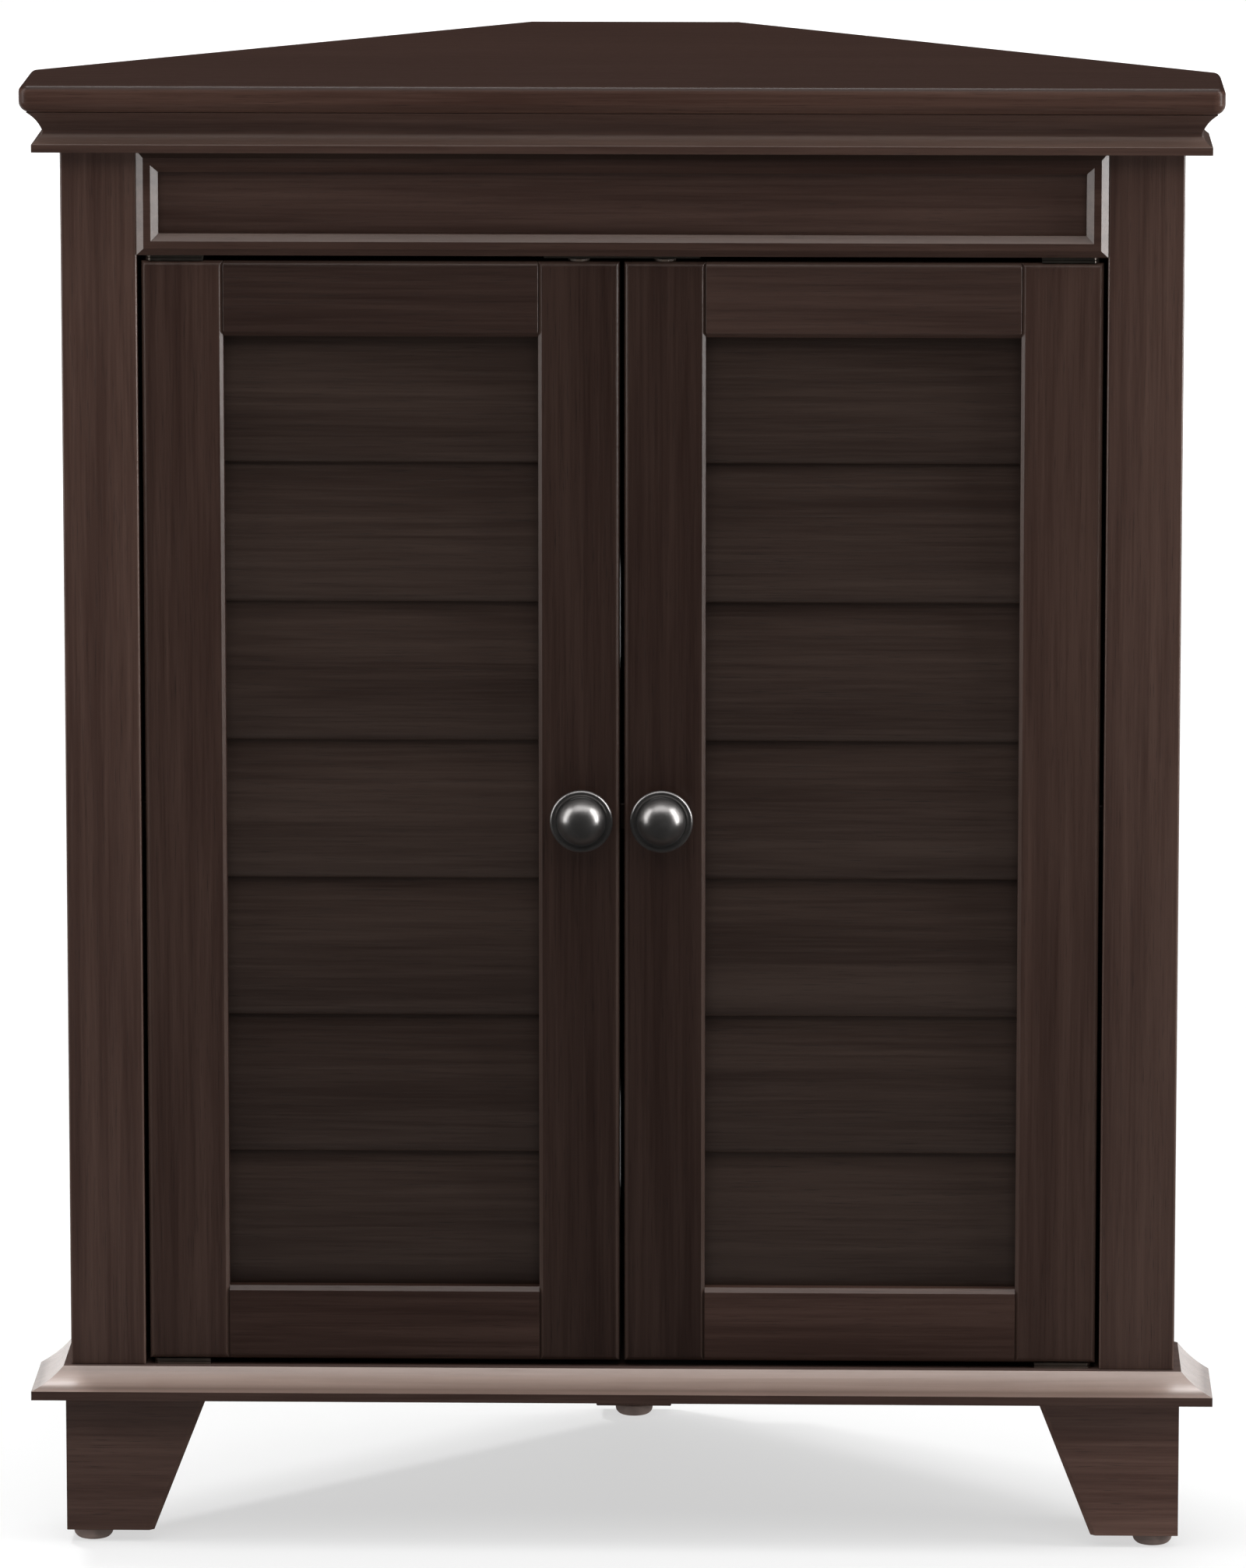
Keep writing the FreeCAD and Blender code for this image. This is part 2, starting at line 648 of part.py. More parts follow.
def build_feet():
    low = GLIDE_HEIGHT
    outer = carcass_half + FOOT_PROUD
    front = face - FOOT_PROUD
    inner = outer - FOOT_BOARD
    behind = front + FOOT_BOARD
    hole = NAIL_RADIUS + FIT_CLEARANCE
    depth = NAIL_LENGTH + FIT_CLEARANCE
    nails = [turned(place + UP * low, UP, SCREW_SIDES, (hole, 0), (hole, depth))
             for place in glide_places()]
    blocks = []
    for word, side in (("left", -1), ("right", 1)):
        section = outline(lambda x, z: Vector(side * (outer - x), front, z), (0, low),
                          (FOOT_BOTTOM_LENGTH, low), (FOOT_TOP_LENGTH, base_bottom), (0, base_bottom))
        board = section.extrude(Vector(0, FOOT_BOARD, 0))
        slope = outer - (FOOT_BOTTOM_LENGTH + FOOT_TOP_LENGTH) / 2
        middle = (low + base_bottom) / 2
        board = board.makeChamfer(FOOT_ARRIS, near(board, (side * slope, front, middle)))
        far = outer - FOOT_TOP_LENGTH
        plan = [(outer, front), (far, front), (far, behind), (inner, behind)]
        board = board.common(prism(sided(side, plan), low, base_bottom)).Solids[0]
        nodes[word + "_foot_front"] = cut(board, *nails)

        section = outline(lambda y, z: Vector(side * inner, front + y, z), (0, low),
                          (FOOT_BOTTOM_LENGTH, low), (FOOT_SIDE_TOP_LENGTH, base_bottom),
                          (0, base_bottom))
        board = section.extrude(Vector(side * FOOT_BOARD, 0, 0))
        far = front + FOOT_SIDE_TOP_LENGTH
        plan = [(outer, front), (outer, far), (inner, far), (inner, behind)]
        board = board.common(prism(sided(side, plan), low, base_bottom)).Solids[0]
        nodes[word + "_foot_side"] = cut(board, *nails)

        blocks.append(block(side * (inner - FOOT_BLOCK), side * inner, behind, behind + FOOT_BLOCK,
                            base_bottom - FOOT_BLOCK_HEIGHT, base_bottom))
    nodes["foot_blocks"] = Part.makeCompound(blocks)

    start = carcass_back - BACK_FOOT_SETBACK - BACK_FOOT_DEPTH
    section = outline(lambda x, z: Vector(x, start, z),
                      (-BACK_FOOT_BOTTOM / 2, low), (BACK_FOOT_BOTTOM / 2, low),
                      (BACK_FOOT_TOP / 2, base_bottom), (-BACK_FOOT_TOP / 2, base_bottom))
    nodes["back_foot"] = cut(section.extrude(Vector(0, BACK_FOOT_DEPTH, 0)), *nails)

    edge = GLIDE_RADIUS - GLIDE_FLAT_RADIUS
    bend = GLIDE_FLAT_RADIUS + edge / slant
    glides = []
    for place in glide_places():
        pad = turned(place, UP, GLIDE_SIDES, (GLIDE_FLAT_RADIUS, 0),
                     (bend, edge * (1 - 1 / slant)), (GLIDE_RADIUS, edge), (GLIDE_RADIUS, low))
        nail = turned(place + UP * low, UP, SCREW_SIDES, (NAIL_RADIUS, 0), (NAIL_RADIUS, NAIL_LENGTH))
        glides.append(joined(pad, nail))
    nodes["floor_glides"] = Part.makeCompound(glides)


def leaf(side, low, hole_radius, places):
    """Hinge plate with trimmed corners about the pivot, a pivot hole and countersunk screw holes."""
    half = LEAF_WIDTH / 2
    trimmed = half - LEAF_CORNER
    plate = outline(lambda x, y: Vector(side * (pivot_x - x), pivot_y + y, low),
                    (-trimmed, -half), (LEAF_LENGTH, -half), (LEAF_LENGTH, half), (-trimmed, half),
                    (-half, trimmed), (-half, -trimmed)).extrude(UP * LEAF_THICKNESS)
    hole = Part.makeCylinder(hole_radius, LEAF_THICKNESS, Vector(side * pivot_x, pivot_y, low))
    return cut(plate, hole, *screw_holes(places))


def build_frame_hardware():
    leaves = []
    pins = []
    for side in (-1, 1):
        fixed = PIVOT_RADIUS + FIT_CLEARANCE / 5
        upper = frieze_bottom - LEAF_THICKNESS
        leaves.append(leaf(side, upper, fixed, upper_leaf_screws()))
        leaves.append(leaf(side, base_top, fixed, lower_leaf_screws()))
        length = end_gap + PIVOT_DEPTH
        for start in (base_top, frieze_bottom - length):
            pins.append(Part.makeCylinder(PIVOT_RADIUS, length, Vector(side * pivot_x, pivot_y, start)))
    nodes["hinge_frame_leaves"] = Part.makeCompound(leaves)
    nodes["hinge_pins"] = Part.makeCompound(pins)
    half = CATCH_LENGTH / 2
    front = catch_y - CATCH_WIDTH / 2
    plate = block(-half, half, front, front + CATCH_WIDTH, frieze_bottom - CATCH_THICKNESS, frieze_bottom)
    nodes["catch_plate"] = cut(plate, *screw_holes(catch_screw_places()))
    places = panel_screw_places(-1) + panel_screw_places(1) + back_screw_places()
    places += upper_leaf_screws() + lower_leaf_screws() + catch_screw_places()
    nodes["carcass_screws"] = Part.makeCompound(screws(places))


def louvre_bar(side, number, beyond, *section):
    """Bar along one louvre that passes both stiles' edges; its section goes down the slope and out."""
    lower_edge = louvre_top - LOUVRE_FIRST_DROP - louvre_pitch * number
    start = meeting_stile_inner - beyond
    length = hinge_stile_inner + beyond - start
    centre = Vector(side * start, door_front + LOUVRE_SETBACK, lower_edge + louvre_height / 2)
    down = Vector(0, -math.sin(tilt), -math.cos(tilt))
    out = Vector(0, -math.cos(tilt), math.sin(tilt))
    shape = outline(lambda across, through: centre + down * across + out * through, *section)
    return shape.extrude(Vector(side * length, 0, 0))


def blade(side, number, clearance):
    """A louvre between the stiles, with bowed faces and eased noses, or the groove that takes it."""
    half = louvre_height / 2 / math.cos(tilt) + clearance
    belly = LOUVRE_THICKNESS / 2 + clearance
    nose = LOUVRE_NOSE + clearance
    shoulder = half - nose
    return louvre_bar(side, number, clearance, (-shoulder, nose), ((0, belly), (shoulder, nose)),
                      (half, nose / 2), (half, -nose / 2), (shoulder, -nose),
                      ((0, -belly), (-shoulder, -nose)), (-half, -nose / 2), (-half, nose / 2))


def louvre_tenon(side, number, clearance):
    """Stub tenons at both ends of a louvre, as one bar, or with a clearance the slanted mortises."""
    half = louvre_height / 2 - LOUVRE_TENON_INSET + clearance
    depth = LOUVRE_TENON / 2 + clearance
    return louvre_bar(side, number, LOUVRE_HOUSING + clearance,
                      (-half, depth), (half, depth), (half, -depth), (-half, -depth))


def rail_tenon(side, low, clearance):
    """Tenons at both ends of a rail, as one bar, or with a clearance the mortises for them."""
    middle = door_front + DOOR_THICKNESS / 2
    return block(side * (meeting_stile_inner - TENON_LENGTH - clearance),
                 side * (hinge_stile_inner + TENON_LENGTH + clearance),
                 middle - TENON_THICKNESS / 2 - clearance, middle + TENON_THICKNESS / 2 + clearance,
                 low - clearance, low + TENON_HEIGHT + clearance)


def stile(side, outer_edge, inner_edge):
    """Upright of a door frame: its outer arris rounded at the edge and both ends."""
    board = block(side * outer_edge, side * inner_edge, door_front, door_back, door_bottom, door_top)
    across = side * (outer_edge + inner_edge) / 2
    board = board.makeChamfer(STILE_CHAMFER, near(board, (side * inner_edge, door_front, door_middle)))
    return board.makeFillet(DOOR_ARRIS, near(
        board, (side * outer_edge, door_front, door_middle),
        (across, door_front, door_top), (across, door_front, door_bottom)))


def rail(side, outer_edge, inner_edge, tenon_low):
    """Level piece of a door frame, with a tenon at each end."""
    low, high = sorted((outer_edge, inner_edge))
    board = block(side * meeting_stile_inner, side * hinge_stile_inner, door_front, door_back, low, high)
    middle = side * (meeting_stile_inner + hinge_stile_inner) / 2
    board = board.makeFillet(DOOR_ARRIS, near(board, (middle, door_front, outer_edge)))
    board = board.makeChamfer(RAIL_CHAMFER, near(board, (middle, door_front, inner_edge)))
    return joined(board, rail_tenon(side, tenon_low, 0))


def build_door(word, side):
    upper_tenon = door_top - TENON_INSET - TENON_HEIGHT
    lower_tenon = door_bottom + TENON_INSET
    mortises = [rail_tenon(side, low, FIT_CLEARANCE) for low in (upper_tenon, lower_tenon)]
    mortises += [louvre_tenon(side, number, FIT_CLEARANCE) for number in range(LOUVRE_COUNT)]
    door_leaf_screws = leaf_screw_places(side, door_top + LEAF_THICKNESS, DOWN)
    door_leaf_screws += leaf_screw_places(side, door_bottom - LEAF_THICKNESS, UP)

    well = PIVOT_RADIUS + PIVOT_HOLE_CLEARANCE
    well_depth = PIVOT_DEPTH + PIVOT_HOLE_CLEARANCE
    wells = [turned(Vector(side * pivot_x, pivot_y, z), direction, BOLT_SIDES, (well, 0), (well, well_depth))
             for z, direction in ((door_top, DOWN), (door_bottom, UP))]
    upright = stile(side, door_outer, hinge_stile_inner)
    nodes[word + "_hinge_stile"] = cut(upright, *mortises, *wells, *screw_holes(door_leaf_screws))

    magnet_top = Vector(side * magnet_x, catch_y, door_top)
    knob_base = Vector(side * knob_x, door_front, door_middle)
    pocket_radius = MAGNET_RADIUS + FIT_CLEARANCE
    pocket_depth = MAGNET_DEPTH + FIT_CLEARANCE
    pocket = turned(magnet_top - UP * pocket_depth, UP, MAGNET_SIDES,
                    (pocket_radius, 0), (pocket_radius, pocket_depth))
    bore = BOLT_RADIUS + FIT_CLEARANCE
    bolt_hole = turned(Vector(side * knob_x, door_back, door_middle), FORWARD, BOLT_SIDES,
                       (bore, 0), (bore, DOOR_THICKNESS))
    upright = stile(side, door_inner, meeting_stile_inner)
    nodes[word + "_meeting_stile"] = cut(upright, *mortises, pocket, bolt_hole)

    top_rail = rail(side, door_top, louvre_top, upper_tenon)
    nodes[word + "_top_rail"] = cut(top_rail, blade(side, 0, FIT_CLEARANCE))
    bottom_rail = rail(side, door_bottom, louvre_bottom, lower_tenon)
    nodes[word + "_bottom_rail"] = cut(bottom_rail, blade(side, LOUVRE_COUNT - 1, FIT_CLEARANCE))
    for number in range(LOUVRE_COUNT):
        name = "%s_louvre_%d" % (word, number + 1)
        nodes[name] = joined(blade(side, number, 0), louvre_tenon(side, number, 0))

    running = PIVOT_RADIUS + RUNNING_CLEARANCE
    nodes[word + "_hinge_leaves"] = Part.makeCompound([
        leaf(side, door_top, running, door_leaf_screws),
        leaf(side, door_bottom - LEAF_THICKNESS, running, door_leaf_screws)])
    nodes[word + "_hinge_screws"] = Part.makeCompound(screws(door_leaf_screws))

    nodes[word + "_catch_magnet"] = turned(
        magnet_top - UP * MAGNET_DEPTH, UP, MAGNET_SIDES, (MAGNET_RADIUS, 0), (MAGNET_RADIUS, MAGNET_DEPTH),
        (MAGNET_FLANGE_RADIUS, MAGNET_DEPTH), (MAGNET_FLANGE_RADIUS, MAGNET_DEPTH + MAGNET_FLANGE))
    build_knob(word, knob_base)


def build_knob(word, base):
    rim_end = KNOB_RIM_START + KNOB_RIM
    dome_rise = KNOB_LENGTH - rim_end
    sphere = (KNOB_DOME_RADIUS ** 2 + dome_rise ** 2) / (2 * dome_rise)
    centre = KNOB_LENGTH - sphere
    widest = math.atan2(KNOB_DOME_RADIUS, rim_end - centre)
    turns = [widest * (1 - step / KNOB_DOME_STEPS) for step in range(KNOB_DOME_STEPS)]
    dome = [(sphere * math.sin(turn), centre + sphere * math.cos(turn)) for turn in turns]
    tip = (dome[-1][0] / 2, KNOB_LENGTH)
    neck = (KNOB_NECK_RADIUS, (KNOB_FOOT + KNOB_RIM_START) / 2)
    knob = turned(base, FORWARD, KNOB_SIDES, (KNOB_FOOT_RADIUS, 0), (KNOB_FOOT_RADIUS, KNOB_FOOT), neck,
                  (KNOB_RADIUS, KNOB_RIM_START), (KNOB_RADIUS, rim_end), *dome, tip)
    bore = BOLT_RADIUS + FIT_CLEARANCE
    bore_end = BOLT_REACH + FIT_CLEARANCE
    nodes[word + "_knob"] = cut(knob, turned(base, FORWARD, BOLT_SIDES, (bore, 0), (bore, bore_end)))
    start = base + Vector(0, DOOR_THICKNESS + BOLT_HEAD, 0)
    length = BOLT_HEAD + DOOR_THICKNESS + BOLT_REACH
    nodes[word + "_knob_bolt"] = turned(
        start, FORWARD, BOLT_SIDES, (BOLT_HEAD_RADIUS, 0), (BOLT_HEAD_RADIUS, BOLT_HEAD),
        (BOLT_RADIUS, BOLT_HEAD), (BOLT_RADIUS, length))


build_top()
build_cornice()
build_base()
build_posts()
build_frieze()
build_sides()
build_back()
build_cleats()
build_shelf()
build_feet()
build_frame_hardware()
build_door("left", -1)
build_door("right", 1)

os.makedirs("parts", exist_ok=True)
for node, shape in nodes.items():
    if not shape.isValid() or any(solid.Volume <= 0 for solid in shape.Solids):
        raise ValueError("bad solid in " + node)
    shape.exportStep("parts/" + node + ".step")
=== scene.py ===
import json
import math

import bmesh
import bpy
import numpy as np
from bpy.props import FloatProperty, FloatVectorProperty, IntProperty, PointerProperty
from mathutils import Matrix, Vector


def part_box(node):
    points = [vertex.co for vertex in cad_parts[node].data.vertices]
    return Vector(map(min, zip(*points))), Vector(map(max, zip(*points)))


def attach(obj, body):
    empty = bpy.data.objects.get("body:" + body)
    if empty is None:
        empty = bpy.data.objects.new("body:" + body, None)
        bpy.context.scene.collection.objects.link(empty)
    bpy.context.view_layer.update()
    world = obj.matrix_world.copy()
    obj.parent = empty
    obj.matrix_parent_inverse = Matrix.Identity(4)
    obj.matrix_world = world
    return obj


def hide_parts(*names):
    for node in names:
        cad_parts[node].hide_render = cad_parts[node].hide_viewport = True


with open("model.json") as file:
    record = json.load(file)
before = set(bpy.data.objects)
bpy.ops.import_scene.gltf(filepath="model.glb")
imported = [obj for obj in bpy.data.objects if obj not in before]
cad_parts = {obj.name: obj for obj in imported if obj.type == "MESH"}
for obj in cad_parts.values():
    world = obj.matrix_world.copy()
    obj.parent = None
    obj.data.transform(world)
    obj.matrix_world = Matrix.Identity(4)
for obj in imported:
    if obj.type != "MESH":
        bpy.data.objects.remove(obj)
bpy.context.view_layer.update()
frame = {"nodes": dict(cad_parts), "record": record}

bl_info = {
    "name": "Corner Cabinet",
    "version": (1, 0, 0),
    "blender": (4, 5, 0),
    "location": "3D View > Sidebar > Cabinet",
    "description": "Stain, slats, hardware and studio for a corner cabinet with two louvred doors",
    "category": "Object",
}

MM = 0.001
SLOTS = {part["node"]: part["material_slot"] for part in frame["record"]["subparts"]}
DOORS = ("left", "right")

# Boards whose grain stands upright, and those whose grain runs from front to back. The rest lie across.
UPRIGHT = ("post", "stile", "side_return", "wall_panel", "back_panel", "back_foot", "foot_blocks")
DEEP = ("cornice_left", "cornice_right", "foot_side")

# How light each kind of board is drawn, partly its stain and partly painted light and shade (posts, rails and
# feet differ left from right where light fell unevenly), how much its edges are rubbed and lit with painted
# light, and its sheen. The first entry whose name is part of the node's name counts.
BOARDS_WITH_PAINTED_LIGHT = {
    "left_post": (1.45, 0.2, 1.0),
    "right_post": (1.22, 0.2, 1.0),
    "hinge_stile": (0.94, 0.1, 0.6),
    "meeting_stile": (0.58, 0.08, 0.5),
    "left_top_rail": (0.66, 0.12, 1.0),
    "right_top_rail": (0.76, 0.12, 1.0),
    "right_bottom_rail": (1.03, 0.08, 0.45),
    "rail": (0.86, 0.08, 0.45),
    "frieze_panel": (1.0, 0.12, 1.0),
    "frieze_mouldings": (0.9, 0.2, 0.65),
    "top_panel": (1.2, 0.01, 0.18),
    "cornice": (1.1, 0.2, 0.9),
    # The base's high wear paints light on its slope that looks up.
    "base_panel": (1.3, 0.92, 1.2),
    # The right foot is drawn much lighter than the left: painted light.
    "right_foot": (2.5, 0.12, 1.0),
    "foot": (1.6, 0.15, 1.0),
}
PLAIN_BOARD = (1.0, 0.2, 1.0)
THIN_PANEL = (0.9, 0.0, 1.0)
RAW_BATTEN = (1.0, 0.0, 1.0)
# Mouldings that keep their crisp mitres.
MITRED = ("base_panel", "frieze_mouldings")


def feed(tree, entry, value):
    """Links a socket to an input, or sets the input's own value."""
    if isinstance(value, Link):
        tree.links.new(value.socket, entry)
    else:
        entry.default_value = value


class Link:
    """An output of a node tree that takes part in sums."""

    def __init__(self, tree, socket):
        self.tree = tree
        self.socket = socket

    def maths(self, operation, *values):
        node = self.tree.nodes.new("ShaderNodeMath")
        node.operation = operation
        for entry, value in zip(node.inputs, values):
            feed(self.tree, entry, value)
        return Link(self.tree, node.outputs[0])

    def __add__(self, other):
        return self.maths("ADD", self, other)

    __radd__ = __add__

    def __sub__(self, other):
        return self.maths("SUBTRACT", self, other)

    def __rsub__(self, other):
        return self.maths("SUBTRACT", other, self)

    def __mul__(self, other):
        return self.maths("MULTIPLY", self, other)

    __rmul__ = __mul__

    def __pow__(self, other):
        return self.maths("POWER", self, other)


class Network:
    """A node tree, with one method that adds any node."""

    def __init__(self, tree):
        self.tree = tree

    def node(self, kind, settings=None, sockets=None, out=0):
        made = self.tree.nodes.new(kind)
        for name, value in (settings or {}).items():
            setattr(made, name, value)
        for name, value in (sockets or {}).items():
            feed(self.tree, made.inputs[name], value)
        return Link(self.tree, made.outputs[out]) if len(made.outputs) else made


class Finish(Network):
    """A material for this cabinet."""

    def __init__(self, name):
        self.material = bpy.data.materials.new(name)
        self.material.use_nodes = True
        super().__init__(self.material.node_tree)
        self.tree.nodes.clear()

    def ramp(self, value, start, end):
        """A smooth step from 0 at start to 1 at end."""
        return self.node("ShaderNodeMapRange", {"interpolation_type": "SMOOTHSTEP"},
                         {"Value": value, "From Min": start, "From Max": end})

    def tint(self, amount, colour, other):
        """One colour turning into another."""
        return self.node("ShaderNodeMix", {"data_type": "RGBA"},
                         {0: amount, 6: as_colour(colour), 7: as_colour(other)}, out=2)

    def noise(self, place, scale, offset, detail, roughness=0.5, distortion=0.0):
        """Cloudy noise on coordinates that are stretched by a scale for each axis."""
        mapped = self.node("ShaderNodeMapping", None,
                           {"Vector": place, "Location": offset, "Scale": scale})
        return self.node("ShaderNodeTexNoise", None, {
            "Vector": mapped, "Scale": 1.0, "Detail": detail, "Roughness": roughness,
            "Distortion": distortion})

    def edges(self):
        """1 on eased edges and mouldings, 0 on undersides and on faces that lie square to the cabinet. It
        carries both real wear and painted light; undersides are left out so the painted light falls only on
        what looks up or aside.
        """
        normal = self.node("ShaderNodeTexCoord", out="Normal")
        size = self.node("ShaderNodeVectorMath", {"operation": "ABSOLUTE"}, {0: normal})
        x, y, z = (self.node("ShaderNodeSeparateXYZ", None, {0: size}, out=axis) for axis in "XYZ")
        slanted = self.ramp(x.maths("MAXIMUM", x.maths("MAXIMUM", x, y), z), 0.985, 0.86)
        return slanted * self.ramp(self.rise(), -0.3, -0.05)

    def rise(self):
        """How far a face looks up, from -1 to 1."""
        normal = self.node("ShaderNodeTexCoord", out="Normal")
        return self.node("ShaderNodeSeparateXYZ", None, {0: normal}, out="Z")

    def close(self, **sockets):
        """Ends the tree in a surface with these inputs."""
        named = {name.replace("_", " "): value for name, value in sockets.items()}
        named["Base Color"] = as_colour(named["Base Color"])
        shader = self.node("ShaderNodeBsdfPrincipled", None, named)
        self.node("ShaderNodeOutputMaterial", None, {"Surface": shader})
        return self.material


def as_colour(value):
    """A colour of three numbers with its alpha, and a link as it is."""
    return value if isinstance(value, Link) else (*value[:3], 1.0)


def darker(colour, amount):
    return [channel * amount for channel in colour[:3]]


def wood(name, palette, grain, seed, shade, rough, coat, crown=0.0, ledge=None, numbered=False):
    """Grained wood. The palette is dark, light, pore and a worn edge colour that also paints light; grain is
    the axis it follows.

    Where edges are rubbed, a crown of painted shade darkens what looks up. With a ledge, faces that look up
    get painted light like the edges below its height, and are matt above it.
    """
    finish = Finish(name)
    dark, light, pore, worn_and_lit_edge = palette
    tone, wear_and_light, sheen = shade
    place = finish.node("ShaderNodeTexCoord", out="Object")
    if numbered:
        number = finish.node("ShaderNodeAttribute", {"attribute_name": "slat"}, out="Fac")
        shift = finish.node("ShaderNodeCombineXYZ", None,
                            {"X": number * 0.73, "Y": number * 0.41, "Z": number * 0.29})
        place = finish.node("ShaderNodeVectorMath", {"operation": "ADD"}, {0: place, 1: shift})
    offset = [3.7 * seed, 5.3 * seed, 2.9 * seed]

    def grained(across, along, detail, roughness, distortion=0.0):
        scale = [across] * 3
        scale[grain] = along
        return finish.noise(place, scale, offset, detail, roughness, distortion)

    figure = grained(15.0, 1.2, 3.0, 0.5, 0.8)
    streak = grained(130.0, 3.5, 5.0, 0.62, 0.4)
    fibre = grained(850.0, 15.0, 3.0, 0.6)
    pores = finish.ramp(grained(2400.0, 55.0, 2.0, 0.5), 0.6, 0.72)
    depth = finish.ramp(0.42 * figure + 0.4 * streak + 0.22 * fibre, 0.36, 0.7)
    colour = finish.tint(depth, darker(dark, tone), darker(light, tone))
    colour = finish.tint(pores * 0.55, colour, darker(pore, tone))
    shine = rough + 0.16 * (fibre - 0.5) + 0.1 * pores
    if wear_and_light:
        edge = finish.edges()
        if ledge:
            top = finish.ramp(finish.rise(), 0.86, 0.98)
            height = finish.node("ShaderNodeSeparateXYZ", None, {0: place}, out="Z")
            inside = top * finish.ramp(height, ledge + MM, ledge + 3 * MM)
            # Painted light: below the ledge, faces that look up are lightened like the edges.
            edge = edge.maths("MAXIMUM", edge, top - inside)
            shine = shine + 0.4 * inside
            coat = coat * (1 - inside)
        # Rubbed edges, and painted light on mouldings and slopes that look up or aside; the base's slope gets
        # the most.
        colour = finish.tint(edge * (0.35 + 0.9 * streak) * wear_and_light, colour, worn_and_lit_edge)
        # Painted shade: what looks up is darkened towards the dark stain.
        if crown:
            painted_top_shade = finish.ramp(finish.rise(), 0.35, 0.75)
            colour = finish.tint(painted_top_shade * crown, colour, darker(dark, 0.6))
        shine = shine - 0.06 * edge
    bump = finish.node("ShaderNodeBump", None, {
        "Strength": 0.25, "Distance": 0.0003, "Height": 0.6 * fibre + 0.4 * streak - 0.8 * pores})
    return finish.close(Base_Color=colour, Roughness=shine, Normal=bump, Coat_Weight=coat * sheen,
                        Coat_Roughness=0.24, Specular_IOR_Level=0.42 * sheen)


def metal(name, colour, bright, rough, full=1.0):
    """Plated metal with a cloudy sheen that is rubbed bright in patches."""
    finish = Finish(name)
    place = finish.node("ShaderNodeTexCoord", out="Object")
    cloud = finish.noise(place, [90.0] * 3, [1.3, 2.1, 0.7], 4.0, 0.6)
    speck = finish.noise(place, [1400.0] * 3, [0.4, 1.9, 3.1], 2.0)
    rubbed = finish.ramp(cloud, 0.45, 0.75)
    tinted = finish.tint(rubbed * 0.5, colour, bright)
    tinted = finish.tint(finish.ramp(speck, 0.62, 0.75) * 0.35, tinted, darker(colour, 0.5))
    bump = finish.node("ShaderNodeBump", None,
                       {"Strength": 0.08, "Distance": 0.0002, "Height": speck})
    shine = rough + 0.18 * (cloud - 0.5) + 0.05 * speck
    return finish.close(Base_Color=tinted, Metallic=full, Roughness=shine, Normal=bump)


def moulded(name, colour, rough):
    """Moulded plastic or enamel with a fine pebbled skin."""
    finish = Finish(name)
    place = finish.node("ShaderNodeTexCoord", out="Object")
    cloud = finish.noise(place, [60.0] * 3, [2.2, 0.6, 1.4], 3.0)
    pebble = finish.noise(place, [2200.0] * 3, [0.9, 2.7, 1.1], 2.0)
    tinted = finish.tint(finish.ramp(cloud, 0.35, 0.7), darker(colour, 0.75), darker(colour, 1.2))
    bump = finish.node("ShaderNodeBump", None,
                       {"Strength": 0.2, "Distance": 0.0002, "Height": pebble})
    return finish.close(Base_Color=tinted, Roughness=rough + 0.2 * (pebble - 0.5), Normal=bump)


def grain_of(node):
    """The axis, 0 to 2, that a board's grain follows."""
    if any(word in node for word in UPRIGHT):
        return 2
    return 1 if any(word in node for word in DEEP) else 0


def shade_of(node):
    """A board's tone and wear, both partly painted light, and its sheen."""
    return next((shade for word, shade in BOARDS_WITH_PAINTED_LIGHT.items() if word in node), PLAIN_BOARD)


def dress(node, material):
    """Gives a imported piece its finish."""
    slots = frame["nodes"][node].data.materials
    slots.clear()
    slots.append(material)


def soften(node, width):
    """Eases a board's sharp edges by a small bevel and keeps its flats even."""
    board = frame["nodes"][node]
    weld = board.modifiers.new("merge_corners", "WELD")
    weld.merge_threshold = 2e-6
    flat = board.modifiers.new("clear_flats", "DECIMATE")
    flat.decimate_type = "DISSOLVE"
    flat.angle_limit = math.radians(0.5)
    ease = board.modifiers.new("ease_edges", "BEVEL")
    ease.width = width
    ease.segments = 2
    ease.limit_method = "ANGLE"
    ease.angle_limit = math.radians(28)
    board.modifiers.new("even_faces", "WEIGHTED_NORMAL")


def eased(profile, reach, steps=4):
    """A turned profile whose inner corners are rounded within a reach of each corner."""
    points = [Vector(profile[0])]
    for before, corner, after in zip(profile, profile[1:], profile[2:]):
        before, corner, after = Vector(before), Vector(corner), Vector(after)
        start = corner + (before - corner).normalized() * min(reach, (before - corner).length * 0.45)
        end = corner + (after - corner).normalized() * min(reach, (after - corner).length * 0.45)
        for step in range(steps + 1):
            part = step / steps
            points.append(start.lerp(corner, part).lerp(corner.lerp(end, part), part))
    return points + [Vector(profile[-1])]


def lathe(name, profile, sides, place=Matrix.Identity(4)):
    """Closed turned mesh about Z; the profile is radius and height, and starts and ends on the axis."""
    shape = bmesh.new()
    rings = []
    for radius, height in profile:
        if radius < 1e-9:
            rings.append([shape.verts.new((0, 0, height))] * sides)
            continue
        turns = [2 * math.pi * number / sides for number in range(sides)]
        rings.append([shape.verts.new((radius * math.cos(turn), radius * math.sin(turn), height))
                      for turn in turns])
    for lower, painted_top_shade in zip(rings, rings[1:]):
        for here in range(sides):
            corners = (lower[here - 1], lower[here], painted_top_shade[here], painted_top_shade[here - 1])
            shape.faces.new(dict.fromkeys(corners))
    bmesh.ops.recalc_face_normals(shape, faces=shape.faces)
    shape.transform(place)
    mesh = bpy.data.meshes.new(name)
    shape.to_mesh(mesh)
    shape.free()
    return smoothed(mesh, 35)


